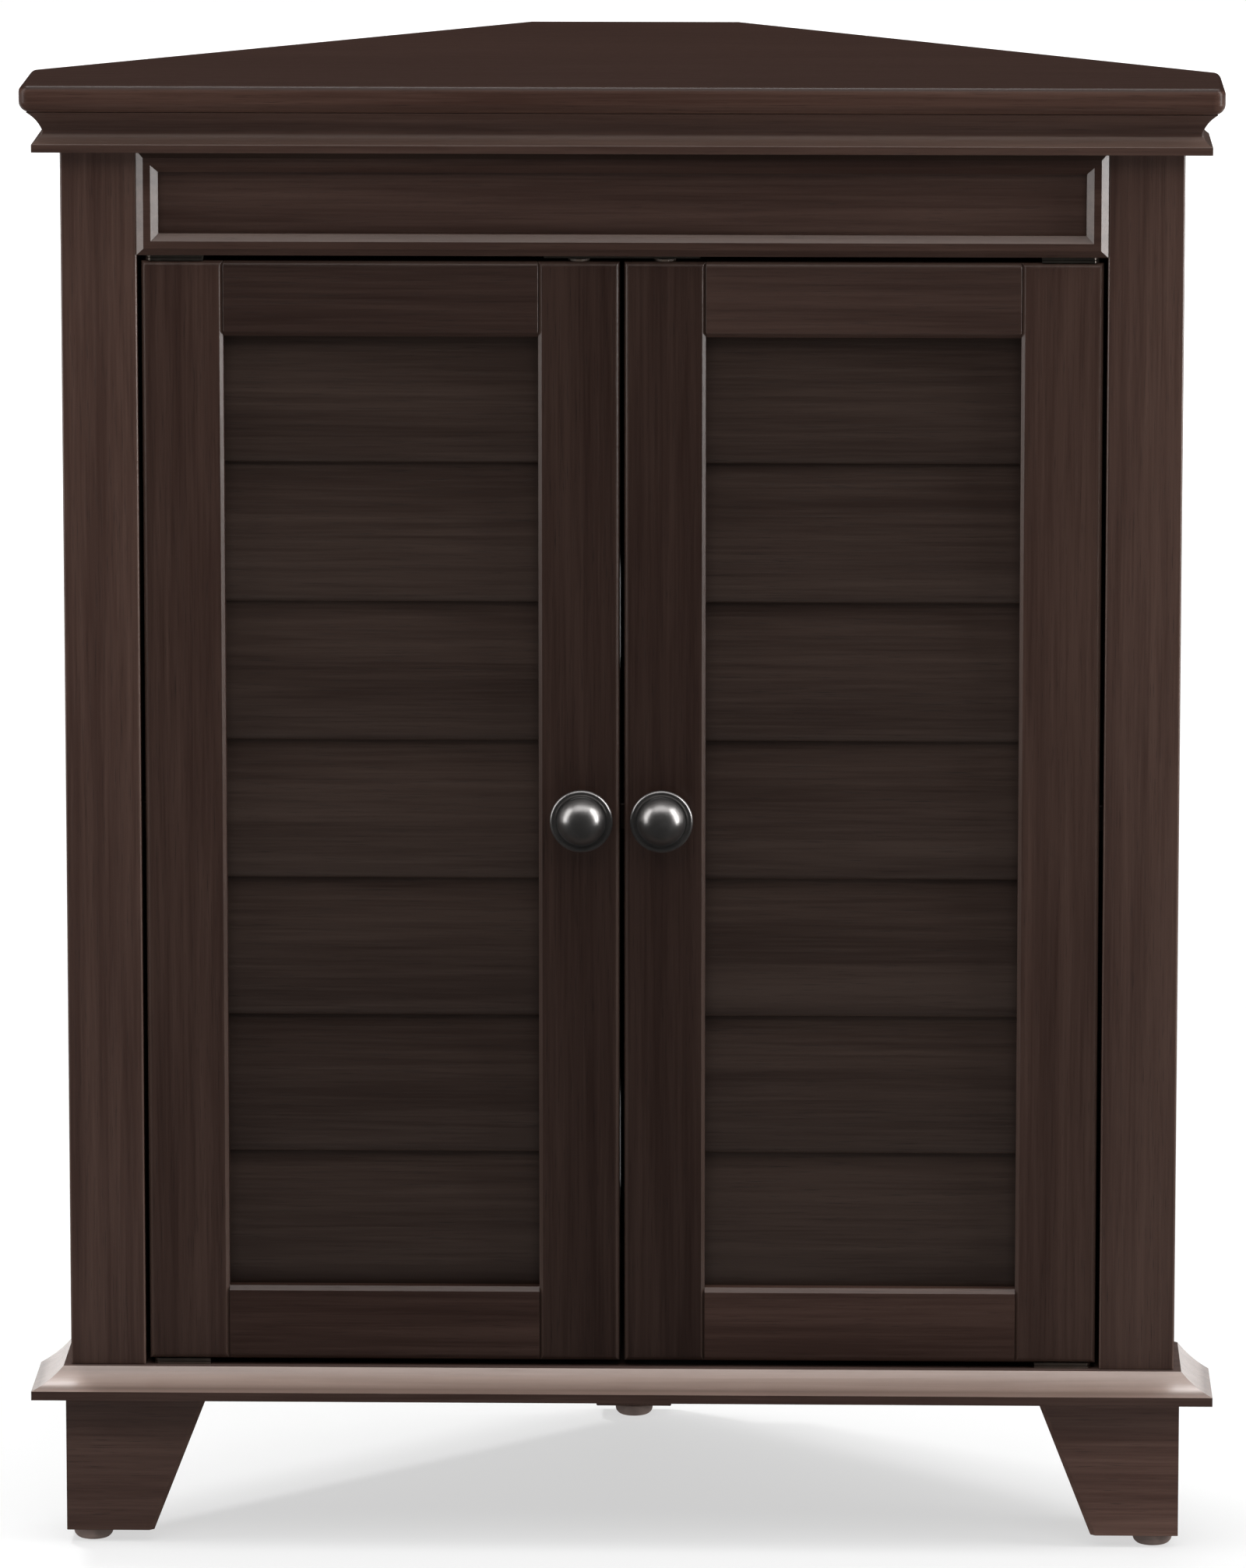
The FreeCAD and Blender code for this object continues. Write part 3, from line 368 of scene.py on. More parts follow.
def smoothed(mesh, degrees):
    """Smooth shading, with edges over an angle kept crisp."""
    mesh.polygons.foreach_set("use_smooth", [True] * len(mesh.polygons))
    mesh.set_sharp_from_angle(angle=math.radians(degrees))
    return mesh


def put(name, mesh):
    """An object at the origin that shows a mesh."""
    piece = bpy.data.objects.new(name, mesh)
    bpy.context.scene.collection.objects.link(piece)
    return piece


def as_plain(source, name):
    """The evaluated object as a plain mesh; the source is removed."""
    bpy.context.view_layer.update()
    graph = bpy.context.evaluated_depsgraph_get()
    mesh = bpy.data.meshes.new_from_object(source.evaluated_get(graph))
    bpy.data.objects.remove(source)
    return put(name, mesh)


def fit(piece, body, slot, *nodes):
    """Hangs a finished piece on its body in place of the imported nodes."""
    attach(piece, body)
    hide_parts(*nodes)


def solids(node):
    """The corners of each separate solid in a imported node."""
    shape = bmesh.new()
    shape.from_mesh(frame["nodes"][node].data)
    bmesh.ops.remove_doubles(shape, verts=shape.verts, dist=2e-6)
    left = set(shape.verts)
    groups = []
    while left:
        front = [left.pop()]
        group = []
        while front:
            corner = front.pop()
            group.append(corner.co.copy())
            for edge in corner.link_edges:
                other = edge.other_vert(corner)
                if other in left:
                    left.remove(other)
                    front.append(other)
        groups.append(np.array(group))
    shape.free()
    return sorted(groups, key=lambda group: tuple(np.round(group.mean(0), 4)))


def long_axis(points):
    """Centre of a slim solid and the direction of its length."""
    centre = points.mean(0)
    return centre, np.linalg.svd(points - centre)[2][0]


def head_places(node):
    """For each screw in a node, the middle of its head and the way it points."""
    places = []
    for points in solids(node):
        centre, axis = long_axis(points)
        along = (points - centre) @ axis
        aside = np.linalg.norm(points - centre - np.outer(along, axis), axis=1)
        if along[aside.argmax()] > 0:
            axis, along = -axis, -along
        places.append((Vector(centre + axis * along.min()), Vector(axis)))
    return places


def peg_places(node):
    """For each shelf peg, the middle of its inner end and the way it points, into the cabinet."""
    places = []
    for points in solids(node):
        centre, axis = long_axis(points)
        if axis @ (centre * (1, 1, 0)) > 0:
            axis = -axis
        along = (points - centre) @ axis
        places.append((Vector(centre + axis * along.min()), Vector(axis)))
    return places


def glide_places(node):
    """For each floor glide, the middle of its sole and the way up."""
    places = []
    for points in solids(node):
        middle = (points.min(0) + points.max(0)) / 2
        places.append((Vector((middle[0], middle[1], points[:, 2].min())), Vector((0, 0, 1))))
    return places


def new_geometry(name, inputs):
    """An empty geometry tree with named inputs and their kinds; returns it and its input links."""
    tree = bpy.data.node_groups.new(name, "GeometryNodeTree")
    tree.interface.new_socket("Geometry", in_out="OUTPUT", socket_type="NodeSocketGeometry")
    for title, kind in {"Geometry": "NodeSocketGeometry", **inputs}.items():
        tree.interface.new_socket(title, in_out="INPUT", socket_type=kind)
    network = Network(tree)
    entry = tree.nodes.new("NodeGroupInput")
    return network, {title: Link(tree, entry.outputs[title]) for title in ("Geometry", *inputs)}


def end_geometry(network, geometry, material):
    """Ends a geometry tree with real geometry and its material."""
    real = network.node("GeometryNodeRealizeInstances", None, {"Geometry": geometry})
    made = network.node("GeometryNodeSetMaterial", None, {"Geometry": real, "Material": material})
    network.node("NodeGroupOutput", None, {"Geometry": made})
    return network.tree


def grow(base, tree, values):
    """Adds a geometry tree to an object and sets its named inputs."""
    modifier = base.modifiers.new(tree.name, "NODES")
    modifier.node_group = tree
    for entry in tree.interface.items_tree:
        if entry.in_out == "INPUT" and entry.name in values:
            modifier[entry.identifier] = values[entry.name]


def slat_tree():
    """Bowed slats with round noses, one below the other, each leaning its lower edge forward."""
    network, given = new_geometry("slat_rack", {
        "Count": "NodeSocketInt", "Pitch": "NodeSocketFloat", "Length": "NodeSocketFloat",
        "Half Height": "NodeSocketFloat", "Belly": "NodeSocketFloat", "Nose": "NodeSocketFloat",
        "Tilt": "NodeSocketFloat", "First": "NodeSocketVector", "Finish": "NodeSocketMaterial"})
    ring = network.node("GeometryNodeCurvePrimitiveCircle", None, {"Resolution": 72})
    factor = network.node("GeometryNodeSplineParameter", out="Factor")
    turn = factor * (2 * math.pi)
    across = factor.maths("COSINE", turn)
    side = factor.maths("SIGN", factor.maths("SINE", turn))
    square = across * across
    swell = given["Nose"] + (given["Belly"] - given["Nose"]) * (1 - square)
    nose = factor.maths("SQRT", factor.maths("MAXIMUM", 1 - square ** 22, 0.0))
    spot = network.node("ShaderNodeCombineXYZ", None,
                        {"X": across * given["Half Height"], "Y": side * swell * nose})
    section = network.node("GeometryNodeSetPosition", None, {"Geometry": ring, "Position": spot})
    end = network.node("ShaderNodeCombineXYZ", None, {"Z": given["Length"]})
    line = network.node("GeometryNodeCurvePrimitiveLine", None, {"End": end})
    blade = network.node("GeometryNodeCurveToMesh", None,
                         {"Curve": line, "Profile Curve": section, "Fill Caps": True})
    laid = network.node("GeometryNodeTransform", None,
                        {"Geometry": blade, "Rotation": (0.0, math.pi / 2, 0.0)})
    drop = network.node("ShaderNodeCombineXYZ", None, {"Z": given["Pitch"] * -1.0})
    rack = network.node("GeometryNodeMeshLine", None,
                        {"Count": given["Count"], "Start Location": given["First"], "Offset": drop})
    lean = network.node("ShaderNodeCombineXYZ", None, {"X": given["Tilt"] * -1.0})
    slats = network.node("GeometryNodeInstanceOnPoints", None,
                         {"Points": rack, "Instance": laid, "Rotation": lean})
    number = network.node("GeometryNodeInputIndex")
    slats = network.node("GeometryNodeStoreNamedAttribute", {"data_type": "FLOAT", "domain": "INSTANCE"},
                         {"Geometry": slats, "Name": "slat", "Value": number + 1.0})
    return end_geometry(network, slats, given["Finish"])


def fastener_tree():
    """Copies of one fastener on points, each along its own direction and turned at random."""
    network, given = new_geometry("fasteners", {
        "Fastener": "NodeSocketObject", "Turn": "NodeSocketFloat", "Seed": "NodeSocketInt",
        "Finish": "NodeSocketMaterial"})
    pattern = network.node("GeometryNodeObjectInfo", None, {"Object": given["Fastener"]}, out="Geometry")
    inward = network.node("GeometryNodeInputNamedAttribute", {"data_type": "FLOAT_VECTOR"},
                          {"Name": "inward"})
    aimed = network.node("FunctionNodeAlignRotationToVector", {"axis": "Z"}, {"Vector": inward})
    angle = network.node("FunctionNodeRandomValue", {"data_type": "FLOAT"},
                         {"Max": given["Turn"], "Seed": given["Seed"]}, out=1)
    spun = network.node("FunctionNodeAxisAngleToRotation", None, {"Axis": (0, 0, 1), "Angle": angle})
    turned = network.node("FunctionNodeRotateRotation", {"rotation_space": "LOCAL"},
                          {"Rotation": aimed, "Rotate By": spun})
    copies = network.node("GeometryNodeInstanceOnPoints", None, {
        "Points": given["Geometry"], "Instance": pattern, "Rotation": turned})
    return end_geometry(network, copies, given["Finish"])


def fasten(name, places, pattern, turn, seed, material):
    """Sets copies of a pattern mesh at places and gives them as one plain mesh."""
    mesh = bpy.data.meshes.new(name)
    mesh.from_pydata([spot for spot, way in places], [], [])
    aim = mesh.attributes.new("inward", "FLOAT_VECTOR", "POINT")
    aim.data.foreach_set("vector", [value for spot, way in places for value in way])
    base = put(name + "_places", mesh)
    sample = put(name + "_pattern", pattern)
    tree = bpy.data.node_groups.get("fasteners") or fastener_tree()
    grow(base, tree, {"Fastener": sample, "Turn": turn, "Seed": seed, "Finish": material})
    piece = as_plain(base, name)
    bpy.data.objects.remove(sample)
    return piece


class CabinetStain(bpy.types.PropertyGroup):
    """Colours and sheen of the wood."""

    dark: FloatVectorProperty(name="Dark stain", description="Deepest colour of the stained grain",
                              subtype="COLOR", default=(0.026, 0.0125, 0.0092), min=0, max=1)
    light: FloatVectorProperty(name="Light stain", description="Lightest colour of the stained grain",
                               subtype="COLOR", default=(0.056, 0.0307, 0.0231), min=0, max=1)
    pore: FloatVectorProperty(name="Pores", description="Colour of the open pores",
                              subtype="COLOR", default=(0.011, 0.0055, 0.0042), min=0, max=1)
    # Rubbed edges, also used as painted light on mouldings and on the base's slope.
    worn_and_lit_edge: FloatVectorProperty(name="Rubbed edge", description="Colour where the stain is rubbed thin",
                              subtype="COLOR", default=(0.28, 0.2, 0.165), min=0, max=1)
    raw_dark: FloatVectorProperty(name="Raw wood, dark", description="Late wood of the unstained battens",
                                  subtype="COLOR", default=(0.34, 0.2, 0.1), min=0, max=1)
    raw_light: FloatVectorProperty(name="Raw wood, light", description="Early wood of the unstained battens",
                                   subtype="COLOR", default=(0.56, 0.38, 0.22), min=0, max=1)
    roughness: FloatProperty(name="Roughness", description="How matt the lacquer is",
                             subtype="FACTOR", default=0.38, min=0, max=1)
    lacquer: FloatProperty(name="Lacquer", description="Weight of the clear coat",
                           subtype="FACTOR", default=0.7, min=0, max=1)
    # Painted shade on the faces of the top that look up.
    crown: FloatProperty(name="Crown", description="How much darker the top is than its edge",
                         subtype="FACTOR", default=0.92, min=0, max=1)
    step: FloatProperty(name="Base step", description="From the base's upper face down to its moulded edge",
                        subtype="DISTANCE", unit="LENGTH", default=4 * MM, min=MM, max=20 * MM)
    edge: FloatProperty(name="Edge", description="Bevel on the boards' sharp edges",
                        subtype="DISTANCE", unit="LENGTH", default=0.5 * MM, min=0, max=3 * MM)

    def palette(self):
        return self.dark, self.light, self.pore, self.worn_and_lit_edge

    def raw_palette(self):
        return self.raw_dark, self.raw_light, darker(self.raw_dark, 0.6), self.raw_light


class CabinetSlats(bpy.types.PropertyGroup):
    """Section of the door slats."""

    thickness: FloatProperty(name="Thickness", description="Thickness in the middle of a slat",
                             subtype="DISTANCE", unit="LENGTH", default=9.5 * MM, min=MM, max=30 * MM)
    nose: FloatProperty(name="Nose", description="Radius of a slat's edges",
                        subtype="DISTANCE", unit="LENGTH", default=1.8 * MM, min=0.2 * MM, max=5 * MM)
    tilt: FloatProperty(name="Tilt", description="How far the lower edges lean forward",
                        subtype="ANGLE", unit="ROTATION", default=math.radians(4), min=0, max=1)
    # Slats are drawn darker than the frames, partly by stain and partly as painted shade of their recess.
    tone: FloatProperty(name="Tone", description="How light the slats came out of the stain",
                        subtype="FACTOR", default=0.69, min=0.2, max=2)
    cast: FloatVectorProperty(name="Cast", description="Colour cast of the slats against the frames",
                              subtype="COLOR", default=(0.96, 1.1, 1.12), min=0, max=2)


class CabinetHardware(bpy.types.PropertyGroup):
    """Sizes and colours of the knobs, screws, pegs, glides and hinges."""

    knob: FloatVectorProperty(name="Knob", description="Plating of the knobs",
                              subtype="COLOR", default=(0.26, 0.25, 0.245), min=0, max=1)
    knob_rubbed: FloatVectorProperty(name="Rubbed knob", description="Plating where hands rub it",
                                     subtype="COLOR", default=(0.38, 0.37, 0.362), min=0, max=1)
    hinge: FloatVectorProperty(name="Hinges", description="Plating of the hinge leaves and catch plate",
                               subtype="COLOR", default=(0.34, 0.3, 0.26), min=0, max=1)
    steel: FloatVectorProperty(name="Screws", description="Zinc on screws, pegs and pins",
                               subtype="COLOR", default=(0.42, 0.41, 0.4), min=0, max=1)
    plastic: FloatVectorProperty(name="Glides", description="Plastic of the floor glides",
                                 subtype="COLOR", default=(0.2, 0.145, 0.125), min=0, max=1)
    head: FloatProperty(name="Screw head", description="Radius of the screw heads",
                        subtype="DISTANCE", unit="LENGTH", default=3.0 * MM, min=MM, max=8 * MM)
    shank: FloatProperty(name="Screw shank", description="Radius of the screws",
                         subtype="DISTANCE", unit="LENGTH", default=1.5 * MM, min=0.5 * MM, max=4 * MM)
    length: FloatProperty(name="Screw length", description="Length of the screws",
                          subtype="DISTANCE", unit="LENGTH", default=14 * MM, min=5 * MM, max=60 * MM)
    seed: IntProperty(name="Seed", description="Seed of the turn of each screw", default=7, min=0)


class CabinetStudio(bpy.types.PropertyGroup):
    """Floor, lights and camera."""

    floor: FloatVectorProperty(name="Floor", description="Colour of the floor",
                               subtype="COLOR", default=(0.25, 0.25, 0.25), min=0, max=1)
    glow: FloatProperty(name="Floor glow", description="Light of the floor's own", default=0.6, min=0, max=2)
    ambient: FloatProperty(name="Ambient", description="Light from all round", default=0.02, min=0, max=2)
    overhead: FloatProperty(name="Overhead", description="Power of the softbox above",
                            subtype="POWER", unit="POWER", default=45, min=0, max=500)
    front: FloatProperty(name="Front", description="Power of the fill light high in front",
                         subtype="POWER", unit="POWER", default=17.5, min=0, max=500)
    left: FloatProperty(name="Left", description="Power of the softbox on the left",
                        subtype="POWER", unit="POWER", default=15, min=0, max=500)
    right: FloatProperty(name="Right", description="Power of the softbox on the right",
                         subtype="POWER", unit="POWER", default=30, min=0, max=500)
    key: FloatProperty(name="Key", description="Power of the lamp that throws the floor's shadow",
                       subtype="POWER", unit="POWER", default=46, min=0, max=500)
    backdrop: FloatProperty(name="Backdrop", description="Power of the light on the rise behind",
                            subtype="POWER", unit="POWER", default=55, min=0, max=500)
    distance: FloatProperty(name="Distance", description="From the top's front edge to the camera",
                            subtype="DISTANCE", unit="LENGTH", default=5.5, min=1, max=20)
    aside: FloatProperty(name="Aside", description="How far right of the middle the camera stands",
                         subtype="DISTANCE", unit="LENGTH", default=0.13, min=-2, max=2)
    height: FloatProperty(name="Height", description="Height of the camera",
                          subtype="DISTANCE", unit="LENGTH", default=1.42635, min=0, max=5)
    pitch: FloatProperty(name="Pitch", description="How far the camera looks down",
                         subtype="ANGLE", unit="ROTATION", default=0.1778, min=-1, max=1)
    yaw: FloatProperty(name="Yaw", description="How far the camera looks to the left",
                       subtype="ANGLE", unit="ROTATION", default=0.02343, min=-1, max=1)
    lens: FloatProperty(name="Lens", description="Focal length in millimetres",
                        default=232.26, min=20, max=1000)


class CABINET_OT_boards(bpy.types.Operator):
    """Stain, lacquer and ease every board of the carcass and of the door frames"""

    bl_idname = "cabinet.boards"
    bl_label = "Boards"

    def execute(self, context):
        stain = context.scene.cabinet_stain
        for seed, node in enumerate(sorted(SLOTS), 1):
            slot = SLOTS[node]
            if "louvre" in node:
                continue
            if slot == "stained_wood":
                finish = wood(node + "_finish", stain.palette(), grain_of(node), seed, shade_of(node),
                              stain.roughness, stain.lacquer, *self.levels(node, stain))
            elif slot == "stained_panel":
                finish = wood(node + "_finish", stain.palette(), grain_of(node), seed, THIN_PANEL,
                              0.55, 0.05)
            elif slot == "plain_wood":
                finish = wood(node + "_finish", stain.raw_palette(), grain_of(node), seed, RAW_BATTEN,
                              0.7, 0.0)
            else:
                continue
            dress(node, finish)
            if node not in MITRED:
                soften(node, stain.edge)
        return {"FINISHED"}

    @staticmethod
    def levels(node, stain):
        """How much painted shade darkens a board's top, and the height of its ledge."""
        crown = stain.crown if node == "top_panel" else 0.0
        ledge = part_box(node)[1].z - stain.step if node == "base_panel" else None
        return crown, ledge


class CABINET_OT_slats(bpy.types.Operator):
    """Build the fixed slats of both doors between the stiles"""

    bl_idname = "cabinet.slats"
    bl_label = "Slats"

    def execute(self, context):
        stain = context.scene.cabinet_stain
        shape = context.scene.cabinet_slats
        tree = slat_tree()
        for seed, word in enumerate(DOORS, 90):
            nodes = sorted(node for node in SLOTS if node.startswith(word + "_louvre"))
            stiles = [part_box(word + kind) for kind in ("_hinge_stile", "_meeting_stile")]
            (left_low, left_high), (right_low, right_high) = sorted(stiles, key=lambda box: box[0].x)
            first_low, first_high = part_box(nodes[0])
            second_low, second_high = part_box(nodes[1])
            middle = (first_low + first_high) / 2
            half = (first_high.z - first_low.z) / 2 / math.cos(shape.tilt)
            palette = [np.multiply(colour[:3], shape.cast[:3]).tolist() for colour in stain.palette()]
            finish = wood(word + "_slats_finish", palette, 0, seed, (shape.tone, *PLAIN_BOARD[1:]),
                          stain.roughness, stain.lacquer, numbered=True)
            base = put(word + "_slat_base", bpy.data.meshes.new(word + "_slat_base"))
            grow(base, tree, {
                "Count": len(nodes), "Pitch": first_low.z - second_low.z,
                "Length": right_low.x - left_high.x, "Half Height": half,
                "Belly": shape.thickness / 2, "Nose": shape.nose, "Tilt": shape.tilt,
                "First": (left_high.x, middle.y, middle.z), "Finish": finish})
            slats = as_plain(base, word + "_slats")
            smoothed(slats.data, 50)
            fit(slats, word + "_door", "stained_wood", *nodes)
        return {"FINISHED"}


class CABINET_OT_knobs(bpy.types.Operator):
    """Turn the two knobs with their beaded rims"""

    bl_idname = "cabinet.knobs"
    bl_label = "Knobs"

    def execute(self, context):
        hardware = context.scene.cabinet_hardware
        finish = metal("knob_plating", hardware.knob, hardware.knob_rubbed, 0.3, 0.95)
        for word in DOORS:
            low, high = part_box(word + "_knob")
            length = high.y - low.y
            radius = (high.z - low.z) / 2
            dome = 0.77 * radius
            rim = 0.585 * length
            rise = length - rim
            ball = (dome * dome + rise * rise) / (2 * rise)
            widest = math.atan2(dome, rim - (length - ball))
            stem = [(0, 0), (8.5 * MM, 0), (8.5 * MM, 1.6 * MM), (6.4 * MM, 3.4 * MM), (5.8 * MM, 6.5 * MM),
                    (7.4 * MM, 9.6 * MM), (12.6 * MM, 11.6 * MM), (radius - 0.9 * MM, 12.6 * MM),
                    (radius, 13.6 * MM), (radius, 14.9 * MM), (radius - 0.9 * MM, 16.0 * MM),
                    (radius - 2.2 * MM, 16.0 * MM), (dome + 0.7 * MM, 15.1 * MM), (dome, 15.3 * MM)]
            steps = 20
            crown = [(ball * math.sin(widest * (1 - step / steps)),
                      length - ball + ball * math.cos(widest * (1 - step / steps))) for step in range(steps)]
            profile = eased(stem + [crown[0]], 0.8 * MM)[:-1] + crown + [(0, length)]
            base = Matrix.Translation(((low.x + high.x) / 2, high.y, (low.z + high.z) / 2))
            mesh = lathe(word + "_knob_turned", profile, 64, base @ Matrix.Rotation(math.pi / 2, 4, "X"))
            mesh.materials.append(finish)
            fit(put(word + "_knob_turned", mesh), word + "_door", "dark_metal", word + "_knob")
        return {"FINISHED"}


class CABINET_OT_screws(bpy.types.Operator):
    """Drive the countersunk cross-head screws of the carcass and the hinges"""

    bl_idname = "cabinet.screws"
    bl_label = "Screws"

    def execute(self, context):
        hardware = context.scene.cabinet_hardware
        finish = metal("zinc", hardware.steel, darker(hardware.steel, 1.3), 0.34)
        groups = {"cabinet": "carcass_screws"}
        groups.update({word + "_door": word + "_hinge_screws" for word in DOORS})
        for body, node in groups.items():
            screws = fasten(node + "_driven", head_places(node), self.pattern(hardware),
                            math.tau, hardware.seed, finish)
            smoothed(screws.data, 30)
            fit(screws, body, "screw_metal", node)
        return {"FINISHED"}

    @staticmethod
    def pattern(hardware):
        """One screw, with its head at the origin and its point along Z."""
        head, shank, length = hardware.head, hardware.shank, hardware.length
        profile = [(0, 0), (head * 0.96, 0), (head, head * 0.06), (shank, head * 0.45),
                   (shank, length - 2 * shank), (shank * 0.3, length), (0, length)]
        screw = put("screw_blank", lathe("screw_blank", profile, 16))
        cross = bmesh.new()
        for size in ((head * 1.25, head * 0.24), (head * 0.24, head * 1.25)):
            bar = bmesh.ops.create_cube(cross, size=1.0)["verts"]
            bmesh.ops.scale(cross, vec=(*size, head * 0.6), verts=bar)
        tool_mesh = bpy.data.meshes.new("driver_tip")
        cross.to_mesh(tool_mesh)
        cross.free()
        tool = put("driver_tip", tool_mesh)
        recess = screw.modifiers.new("recess", "BOOLEAN")
        recess.object = tool
        recess.use_self = True
        made = as_plain(screw, "screw_pattern")
        mesh = made.data
        bpy.data.objects.remove(tool)
        bpy.data.objects.remove(made)
        return mesh


class CABINET_OT_glides(bpy.types.Operator):
    """Nail the moulded glides under the feet"""

    bl_idname = "cabinet.glides"
    bl_label = "Floor glides"

    def execute(self, context):
        hardware = context.scene.cabinet_hardware
        finish = moulded("glide_plastic", hardware.plastic, 0.5)
        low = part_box("left_foot_front")[0].z
        profile = eased([(0, 0), (8.6 * MM, 0), (11 * MM, 2.6 * MM), (11 * MM, low), (1.3 * MM, low),
                         (1.3 * MM, low + 11.5 * MM), (0, low + 12 * MM)], 1.6 * MM)
        glides = fasten("glides_moulded", glide_places("floor_glides"),
                        lathe("glide_pattern", profile, 40), 0.0, 1, finish)
        smoothed(glides.data, 40)
        fit(glides, "cabinet", "brown_plastic", "floor_glides")
        return {"FINISHED"}


class CABINET_OT_pegs(bpy.types.Operator):
    """Plug in the four pegs that carry the shelf"""

    bl_idname = "cabinet.pegs"
    bl_label = "Shelf pegs"

    def execute(self, context):
        hardware = context.scene.cabinet_hardware
        finish = metal("peg_zinc", hardware.steel, darker(hardware.steel, 1.3), 0.3)
        profile = eased([(0, 0), (2.5 * MM, 0), (2.5 * MM, 7 * MM), (4 * MM, 7 * MM), (4 * MM, 8.5 * MM),
                         (2.5 * MM, 8.5 * MM), (2.5 * MM, 17 * MM), (0, 17 * MM)], 0.4 * MM)
        pegs = fasten("pegs_turned", peg_places("shelf_pins"),
                      lathe("peg_pattern", profile, 24), 0.0, 1, finish)
        smoothed(pegs.data, 40)
        fit(pegs, "cabinet", SLOTS["shelf_pins"], "shelf_pins")
        return {"FINISHED"}


class CABINET_OT_fittings(bpy.types.Operator):
    """Plate the hinge leaves, pins, bolts and the catch"""

    bl_idname = "cabinet.fittings"
    bl_label = "Fittings"

    def execute(self, context):
        hardware = context.scene.cabinet_hardware
        finishes = {
            "hinge_metal": metal("hinge_plating", hardware.hinge, darker(hardware.hinge, 1.4), 0.36),
            "screw_metal": metal("fitting_zinc", hardware.steel, darker(hardware.steel, 1.3), 0.34),
            "dark_metal": metal("fitting_dark", hardware.knob, hardware.knob_rubbed, 0.3),
            "brown_plastic": moulded("fitting_plastic", hardware.plastic, 0.5),
            "magnet_case": moulded("magnet_enamel", (0.12, 0.09, 0.07), 0.4),
        }
        for node, slot in SLOTS.items():
            if slot in finishes:
                dress(node, finishes[slot])
        return {"FINISHED"}


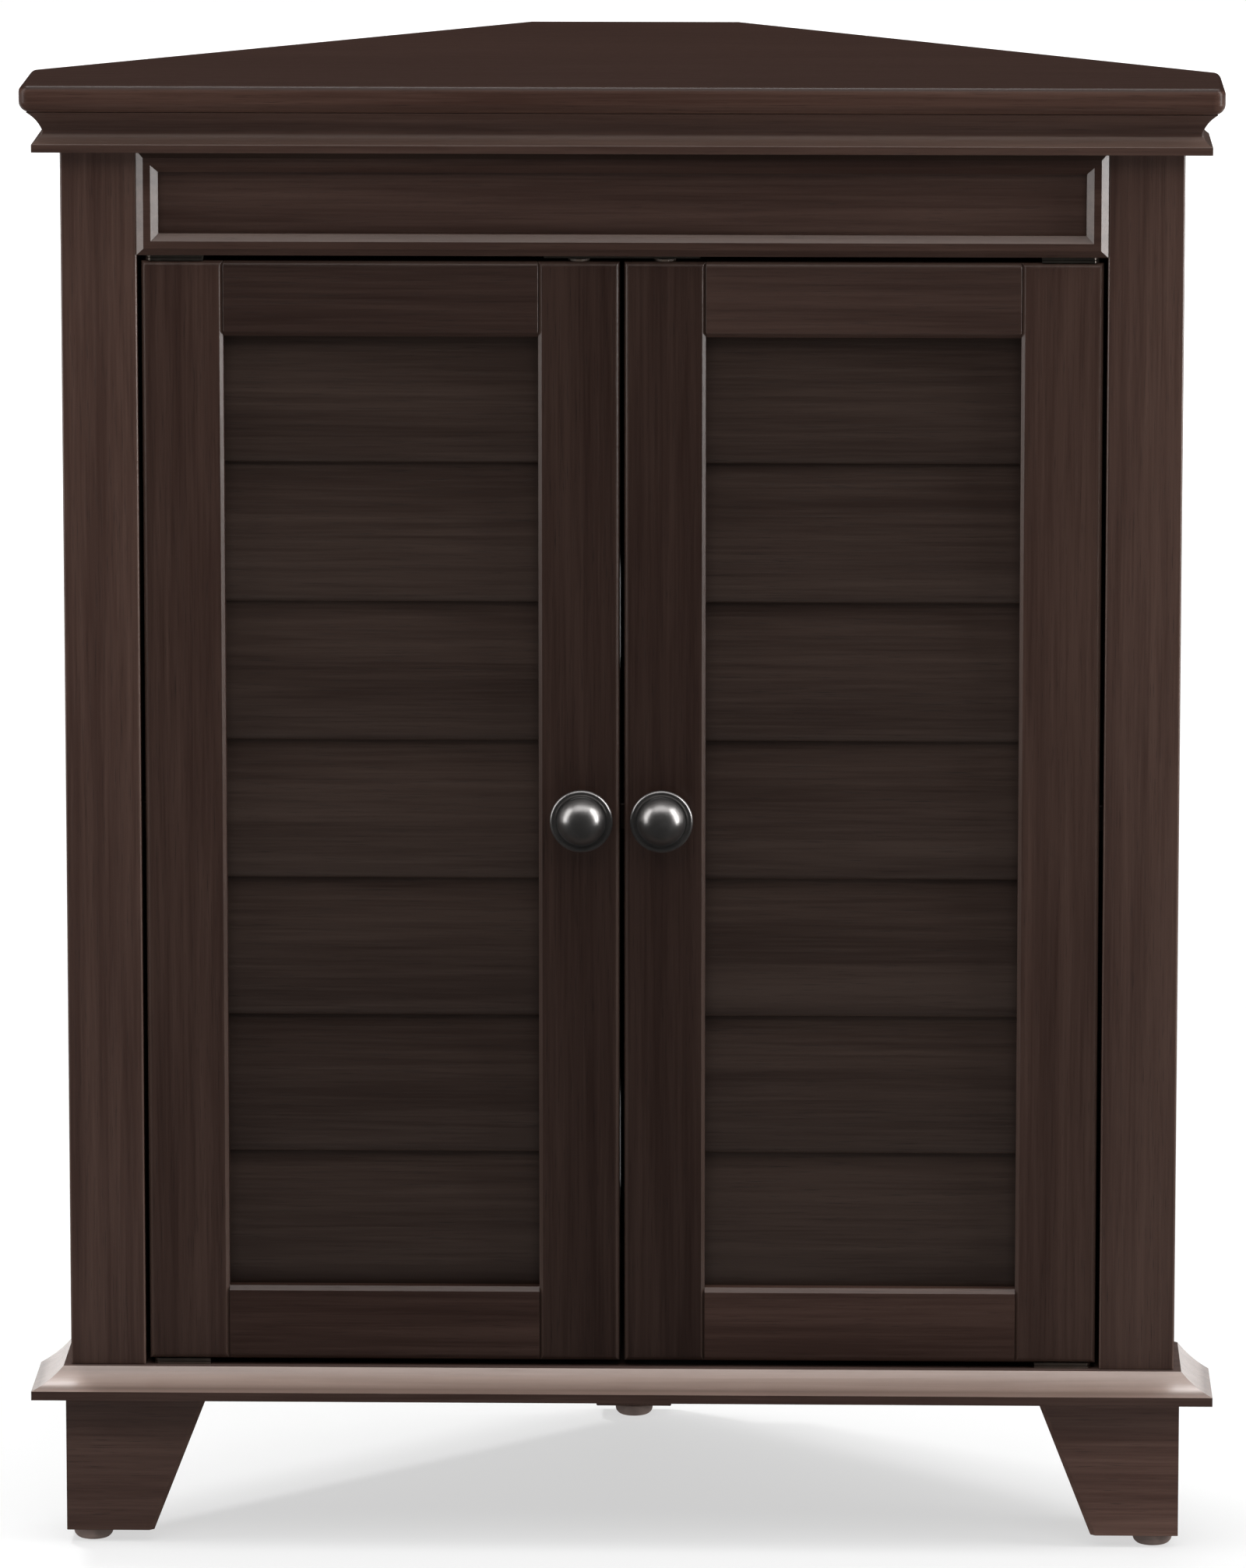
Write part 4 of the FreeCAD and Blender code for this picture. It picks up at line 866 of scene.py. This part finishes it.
class CABINET_OT_studio(bpy.types.Operator):
    """Lay the pale floor, hang the softboxes and set the camera"""

    bl_idname = "cabinet.studio"
    bl_label = "Studio"

    def execute(self, context):
        studio = context.scene.cabinet_studio
        self.sweep(studio)
        world = bpy.data.worlds.new("studio")
        world.use_nodes = True
        world.node_tree.nodes["Background"].inputs["Color"].default_value = (1.0, 0.99, 0.97, 1.0)
        world.node_tree.nodes["Background"].inputs["Strength"].default_value = studio.ambient
        context.scene.world = world
        context.scene.view_settings.view_transform = "Standard"
        self.softbox("overhead", (0.0, -0.2, 2.6), (0.0, -0.15, 0.0), (2.6, 2.4), studio.overhead)
        self.softbox("left_side", (-1.5, -0.4, 1.2), (0.0, -0.2, 0.7), (0.65, 1.8), studio.left)
        self.softbox("right_side", (1.5, -0.4, 1.2), (0.0, -0.2, 0.7), (0.42, 1.8), studio.right)
        front = self.softbox("front_fill", (0.0, -1.5, 1.75), (0.0, -0.15, 0.3), (2.6, 0.8), studio.front)
        key = self.softbox("key", (-1.2, 1.2, 2.5), (0.0, 0.0, 0.0), (0.3, 0.3), studio.key)
        front.visible_glossy = False
        key.visible_glossy = False
        self.softbox("backdrop", (0.0, 0.8, 2.9), (0.0, 2.5, 0.2), (3.0, 0.6), studio.backdrop)
        camera = bpy.data.objects.new("camera", bpy.data.cameras.new("camera"))
        context.scene.collection.objects.link(camera)
        camera.data.lens = studio.lens
        camera.data.sensor_width = 36.0
        camera.location = (studio.aside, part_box("top_panel")[0].y - studio.distance, studio.height)
        camera.rotation_euler = (math.pi / 2 - studio.pitch, 0.0, studio.yaw)
        context.scene.camera = camera
        return {"FINISHED"}

    @staticmethod
    def softbox(name, spot, target, size, power):
        lamp = bpy.data.lights.new(name, "AREA")
        lamp.shape = "RECTANGLE"
        lamp.size, lamp.size_y = size
        lamp.energy = power
        light = bpy.data.objects.new(name, lamp)
        light.location = spot
        light.rotation_euler = (Vector(target) - Vector(spot)).to_track_quat("-Z", "Y").to_euler()
        bpy.context.scene.collection.objects.link(light)
        return light

    @staticmethod
    def sweep(studio):
        """Floor, a low curved rise behind it and a white floor beyond. Only the rise shows in the lacquer."""
        finish = Finish("floor_paper")
        place = finish.node("ShaderNodeTexCoord", out="Object")
        cloud = finish.noise(place, [3.0] * 3, [0.0] * 3, 3.0)
        colour = finish.tint(cloud, darker(studio.floor, 0.98), studio.floor)
        depth = finish.node("ShaderNodeSeparateXYZ", None, {0: place}, out="Y")
        # Painted light: the floor glows more in front of the cabinet than under and beside it; far back it
        # glows white.
        glow = finish.tint(finish.ramp(depth, -0.35, -0.1), [studio.glow / 0.9] * 3, [studio.glow] * 3)
        glow = finish.tint(finish.ramp(depth, 1.3, 2.4), glow, [1.0] * 3)
        paper = finish.close(Base_Color=colour, Roughness=0.8, Specular_IOR_Level=0.2,
                             Emission_Color=glow, Emission_Strength=1.0)
        front, near, back, far = -9.5, 0.5, 2.6, 16.0
        bend, wide = 1.2, 7.0
        turns = [math.pi / 2 * step / 24 for step in range(17)]
        curve = [(back - bend + bend * math.sin(turn), bend - bend * math.cos(turn)) for turn in turns]
        strips = {
            "floor": [(front, 0.0), (near, 0.0)],
            "floor_behind": [(near, 0.0)] + curve,
            "floor_beyond": [(back, 0.0), (far, 0.0)],
        }
        for name, line in strips.items():
            shape = bmesh.new()
            rows = [[shape.verts.new((x, y, z)) for x in (-wide, wide)] for y, z in line]
            for row, after in zip(rows, rows[1:]):
                shape.faces.new((row[0], row[1], after[1], after[0]))
            mesh = bpy.data.meshes.new(name)
            shape.to_mesh(mesh)
            shape.free()
            mesh.materials.append(paper)
            sheet = put(name, smoothed(mesh, 60))
            sheet.visible_glossy = name == "floor_behind"


class CABINET_PT_panel(bpy.types.Panel):
    """Sizes, colours and steps of the cabinet"""

    bl_label = "Corner Cabinet"
    bl_idname = "CABINET_PT_panel"
    bl_space_type = "VIEW_3D"
    bl_region_type = "UI"
    bl_category = "Cabinet"

    def draw(self, context):
        for title, group in GROUPS.items():
            box = self.layout.box()
            box.label(text=title.replace("_", " ").title())
            for name in group.__annotations__:
                box.prop(getattr(context.scene, title), name)
        for operator in OPERATORS:
            self.layout.operator(operator.bl_idname)


GROUPS = {
    "cabinet_stain": CabinetStain,
    "cabinet_slats": CabinetSlats,
    "cabinet_hardware": CabinetHardware,
    "cabinet_studio": CabinetStudio,
}
OPERATORS = (
    CABINET_OT_boards, CABINET_OT_fittings, CABINET_OT_slats, CABINET_OT_knobs, CABINET_OT_screws,
    CABINET_OT_glides, CABINET_OT_pegs, CABINET_OT_studio,
)
CLASSES = (*GROUPS.values(), *OPERATORS, CABINET_PT_panel)


def register():
    for kind in CLASSES:
        bpy.utils.register_class(kind)
    for title, group in GROUPS.items():
        setattr(bpy.types.Scene, title, PointerProperty(type=group))


def unregister():
    for title in GROUPS:
        delattr(bpy.types.Scene, title)
    for kind in reversed(CLASSES):
        bpy.utils.unregister_class(kind)


def main():
    register()
    bpy.ops.cabinet.boards()
    bpy.ops.cabinet.fittings()
    bpy.ops.cabinet.slats()
    bpy.ops.cabinet.knobs()
    bpy.ops.cabinet.screws()
    bpy.ops.cabinet.glides()
    bpy.ops.cabinet.pegs()
    bpy.ops.cabinet.studio()


if __name__ == "__main__":
    main()
